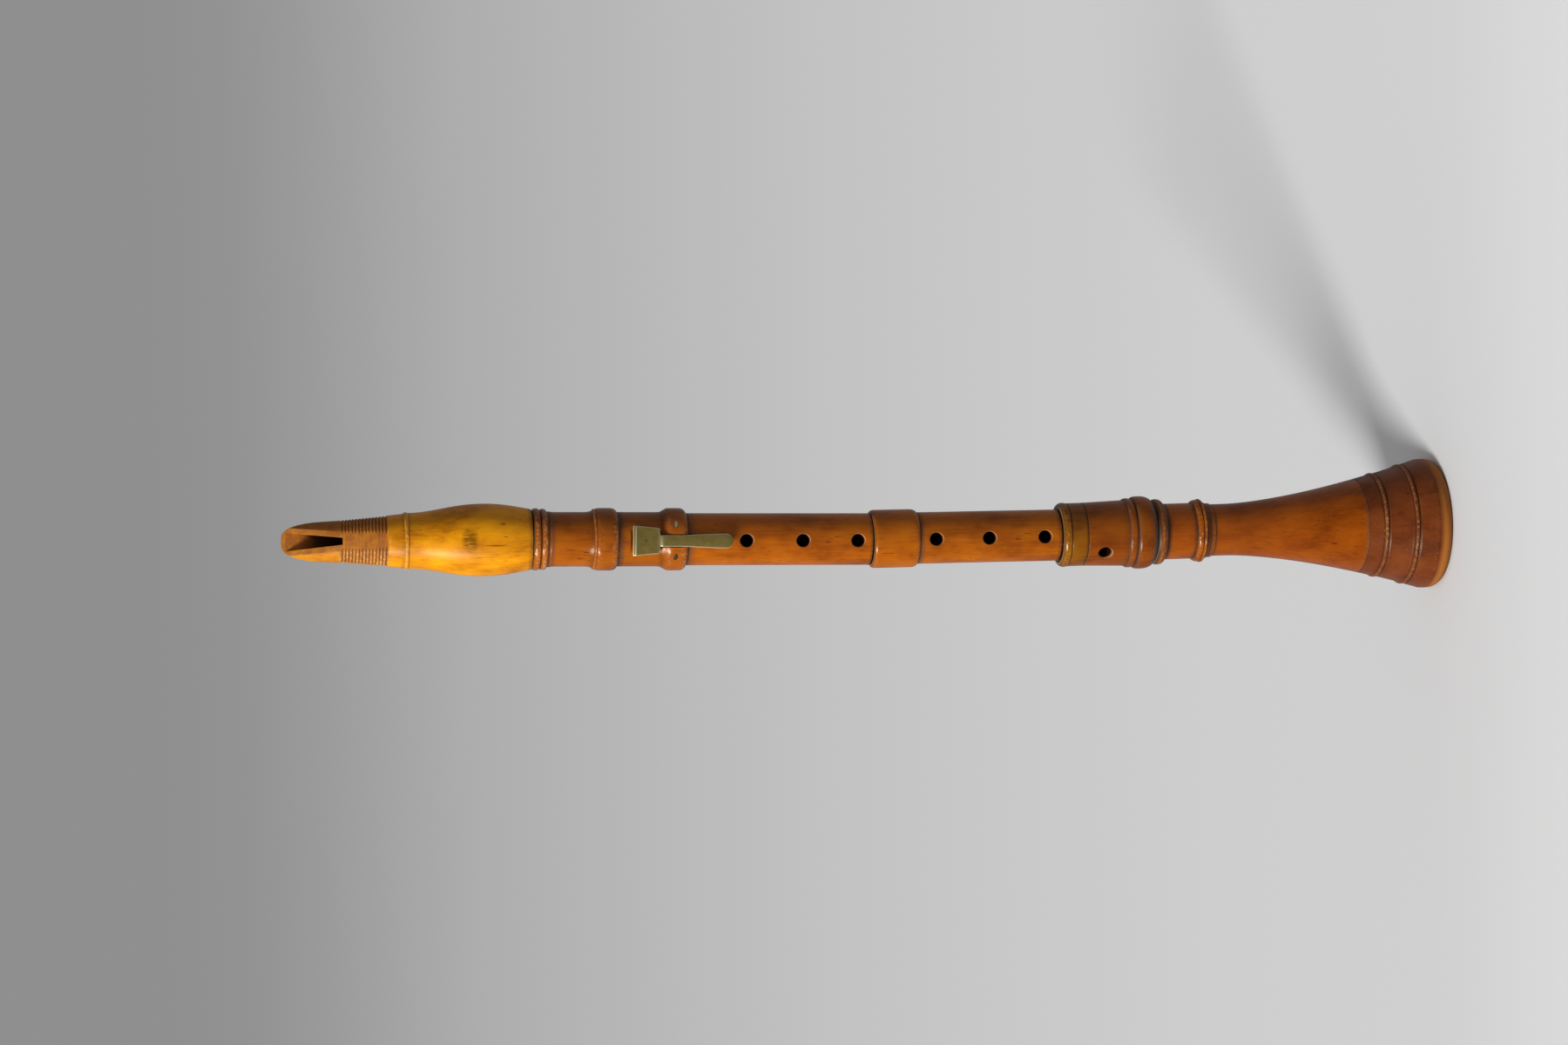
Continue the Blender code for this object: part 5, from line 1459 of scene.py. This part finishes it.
def grey(level):
    """A colour with no tint."""
    return (level, level, level)


floor_mesh = bpy.data.meshes.new("studio_floor")
corners = FLOOR_REACH * np.array([(-1, -1, 0), (1, -1, 0), (1, 1, 0), (-1, 1, 0)])
floor_mesh.from_pydata(corners, [], [(0, 1, 2, 3)])
floor = placed("studio_floor", floor_mesh)
floor_material, tree, shader = new_material("pale_floor")
back = node(tree, "SeparateXYZ", Vector=node(tree, "TexCoord").outputs["Object"]).outputs[1]
back = maths(tree, "MAXIMUM", back, FLOOR_FRONT)
share = maths(tree, "DIVIDE", *(maths(tree, "ADD", back, offset) for offset in FLOOR_FADE))
shade = node(tree, "ValToRGB", Fac=share)
for stop, _ in FLOOR_SHADES[1:-1]:
    shade.color_ramp.elements.new(stop)
for element, (stop, level) in zip(shade.color_ramp.elements, FLOOR_SHADES):
    element.position = stop
    element.color = (*grey(level), 1)
seen = node(tree, "LightPath").outputs["Is Camera Ray"]
floor_colour = tinted(tree, seen, grey(FLOOR_BOUNCE), shade.outputs[0])
tree.links.new(floor_colour, shader.inputs["Base Color"])
shader.inputs["Roughness"].default_value = 0.9
shader.inputs["Specular IOR Level"].default_value = 0.1
distant = node(tree, "Emission", Color=(*grey(ROOM_GREY), 1), Strength=1.0)
far_off = ranged(tree, share, 0.7, 1.0)
fade = node(tree, "MixShader", _0=far_off, _1=shader.outputs[0], _2=distant.outputs[0])
tree.links.new(fade.outputs[0], tree.nodes["Material Output"].inputs["Surface"])
floor.data.materials.append(floor_material)

# Light
# A soft lamp at the left front, above the clarinet, models it. The real backdrop curves up behind
# and bends the shadow, so the flat floor here has two lamps of its own: one throws the shadow the
# same way, and a broad one overhead softens it.

CLARINET_LAMP = (47.0, 1.1, 1.05, 0.8, 0.3, 19.5)
LAMP_AIM = 0.8
SHADOW_LAMP = (29.0, 42.0, 16.0, 2.4)
OVERHEAD_LAMP = (0.0, 89.0, 90.0, 0.5)
ROOM_FILL = (0.08, 0.21)
ROOM_FILL_FROM = (0.0, 0.6, 0.8)


def lamp(name, kind, receivers, power, towards):
    """A lamp for one group of receivers; towards is the way from the clarinet to the lamp."""
    made = placed(name, bpy.data.lights.new(name, kind))
    made.data.energy = power
    made.rotation_euler = towards.to_track_quat("Z", "Y").to_euler()
    made.light_linking.receiver_collection = receivers
    return made


def sun(name, receivers, azimuth, elevation, width, strength):
    """A lamp of that angular width, azimuth degrees to the viewer's left of the front."""
    turn, rise = math.radians(azimuth), math.radians(elevation)
    towards = Vector((-math.sin(turn) * math.cos(rise), -math.cos(turn) * math.cos(rise), math.sin(rise)))
    lamp(name, "SUN", receivers, strength, towards).data.angle = math.radians(width)


def softbox(name, receivers, azimuth, away, height, length, width, power):
    """A tall lamp at a height above the floor, facing the clarinet, placed as a sun is."""
    turn = math.radians(azimuth)
    spot = Vector((-math.sin(turn) * away, -math.cos(turn) * away, height))
    box = lamp(name, "AREA", receivers, power, spot - Vector((0, 0, LAMP_AIM)))
    box.location = spot
    box.visible_camera = False
    box.data.shape = "RECTANGLE"
    box.data.size, box.data.size_y = width, length


def linked_to_floor(name, state):
    """A group for the lamps that takes in the floor alone, or everything but the floor."""
    group = bpy.data.collections.new(name)
    group.objects.link(floor)
    group.collection_objects[0].light_linking.link_state = state
    return group


all_but_floor = linked_to_floor("all_but_floor", "EXCLUDE")
floor_alone = linked_to_floor("floor_alone", "INCLUDE")
softbox("clarinet_lamp", all_but_floor, *CLARINET_LAMP)
sun("shadow_lamp", floor_alone, *SHADOW_LAMP)
sun("overhead_lamp", floor_alone, *OVERHEAD_LAMP)
world = bpy.data.worlds.new("room")
bpy.context.scene.world = world
world.use_nodes = True
tree = world.node_tree
way = node(tree, "TexCoord").outputs["Generated"]
back = node(tree, "VectorMath", {"operation": "DOT_PRODUCT"}, _0=way, _1=ROOM_FILL_FROM).outputs["Value"]
fill = tinted(tree, ranged(tree, back, -1.0, 1.0), *(grey(level) for level in ROOM_FILL))
seen = tinted(tree, node(tree, "LightPath").outputs["Is Camera Ray"], fill, grey(ROOM_GREY))
tree.links.new(seen, tree.nodes["Background"].inputs["Color"])

# Camera
# The photograph is turned a quarter turn: its right is down. The camera stands a little to one
# side of the front and looks down a little.

LENS = 84.0
SENSOR_WIDTH = 36.0
CAMERA_DISTANCE = 1.6514
CAMERA_HEIGHT = 0.60295
CAMERA_ASIDE = 0.0098
CAMERA_TILT = math.radians(10.019)
CAMERA_ROLL = math.radians(1.8)
CAMERA_SWING = math.radians(3.2)
FARTHEST = 400.0

forward = Vector((0, math.cos(CAMERA_TILT), -math.sin(CAMERA_TILT)))
downward = Vector((0, -math.sin(CAMERA_TILT), -math.cos(CAMERA_TILT)))
aside = Vector((1, 0, 0))
right = math.cos(CAMERA_ROLL) * downward - math.sin(CAMERA_ROLL) * aside
up = math.sin(CAMERA_ROLL) * downward + math.cos(CAMERA_ROLL) * aside
turned_rig = Matrix((right, up, -forward)).transposed().to_4x4()
turned_rig.translation = (CAMERA_ASIDE, -CAMERA_DISTANCE, CAMERA_HEIGHT)
lens = bpy.data.cameras.new("photograph")
lens.lens = LENS
lens.sensor_width = SENSOR_WIDTH
lens.clip_end = FARTHEST
camera = placed("photograph", lens)
camera.matrix_world = Matrix.Rotation(CAMERA_SWING, 4, "Z") @ turned_rig
bpy.context.scene.camera = camera
bpy.context.scene.view_settings.view_transform = "Standard"
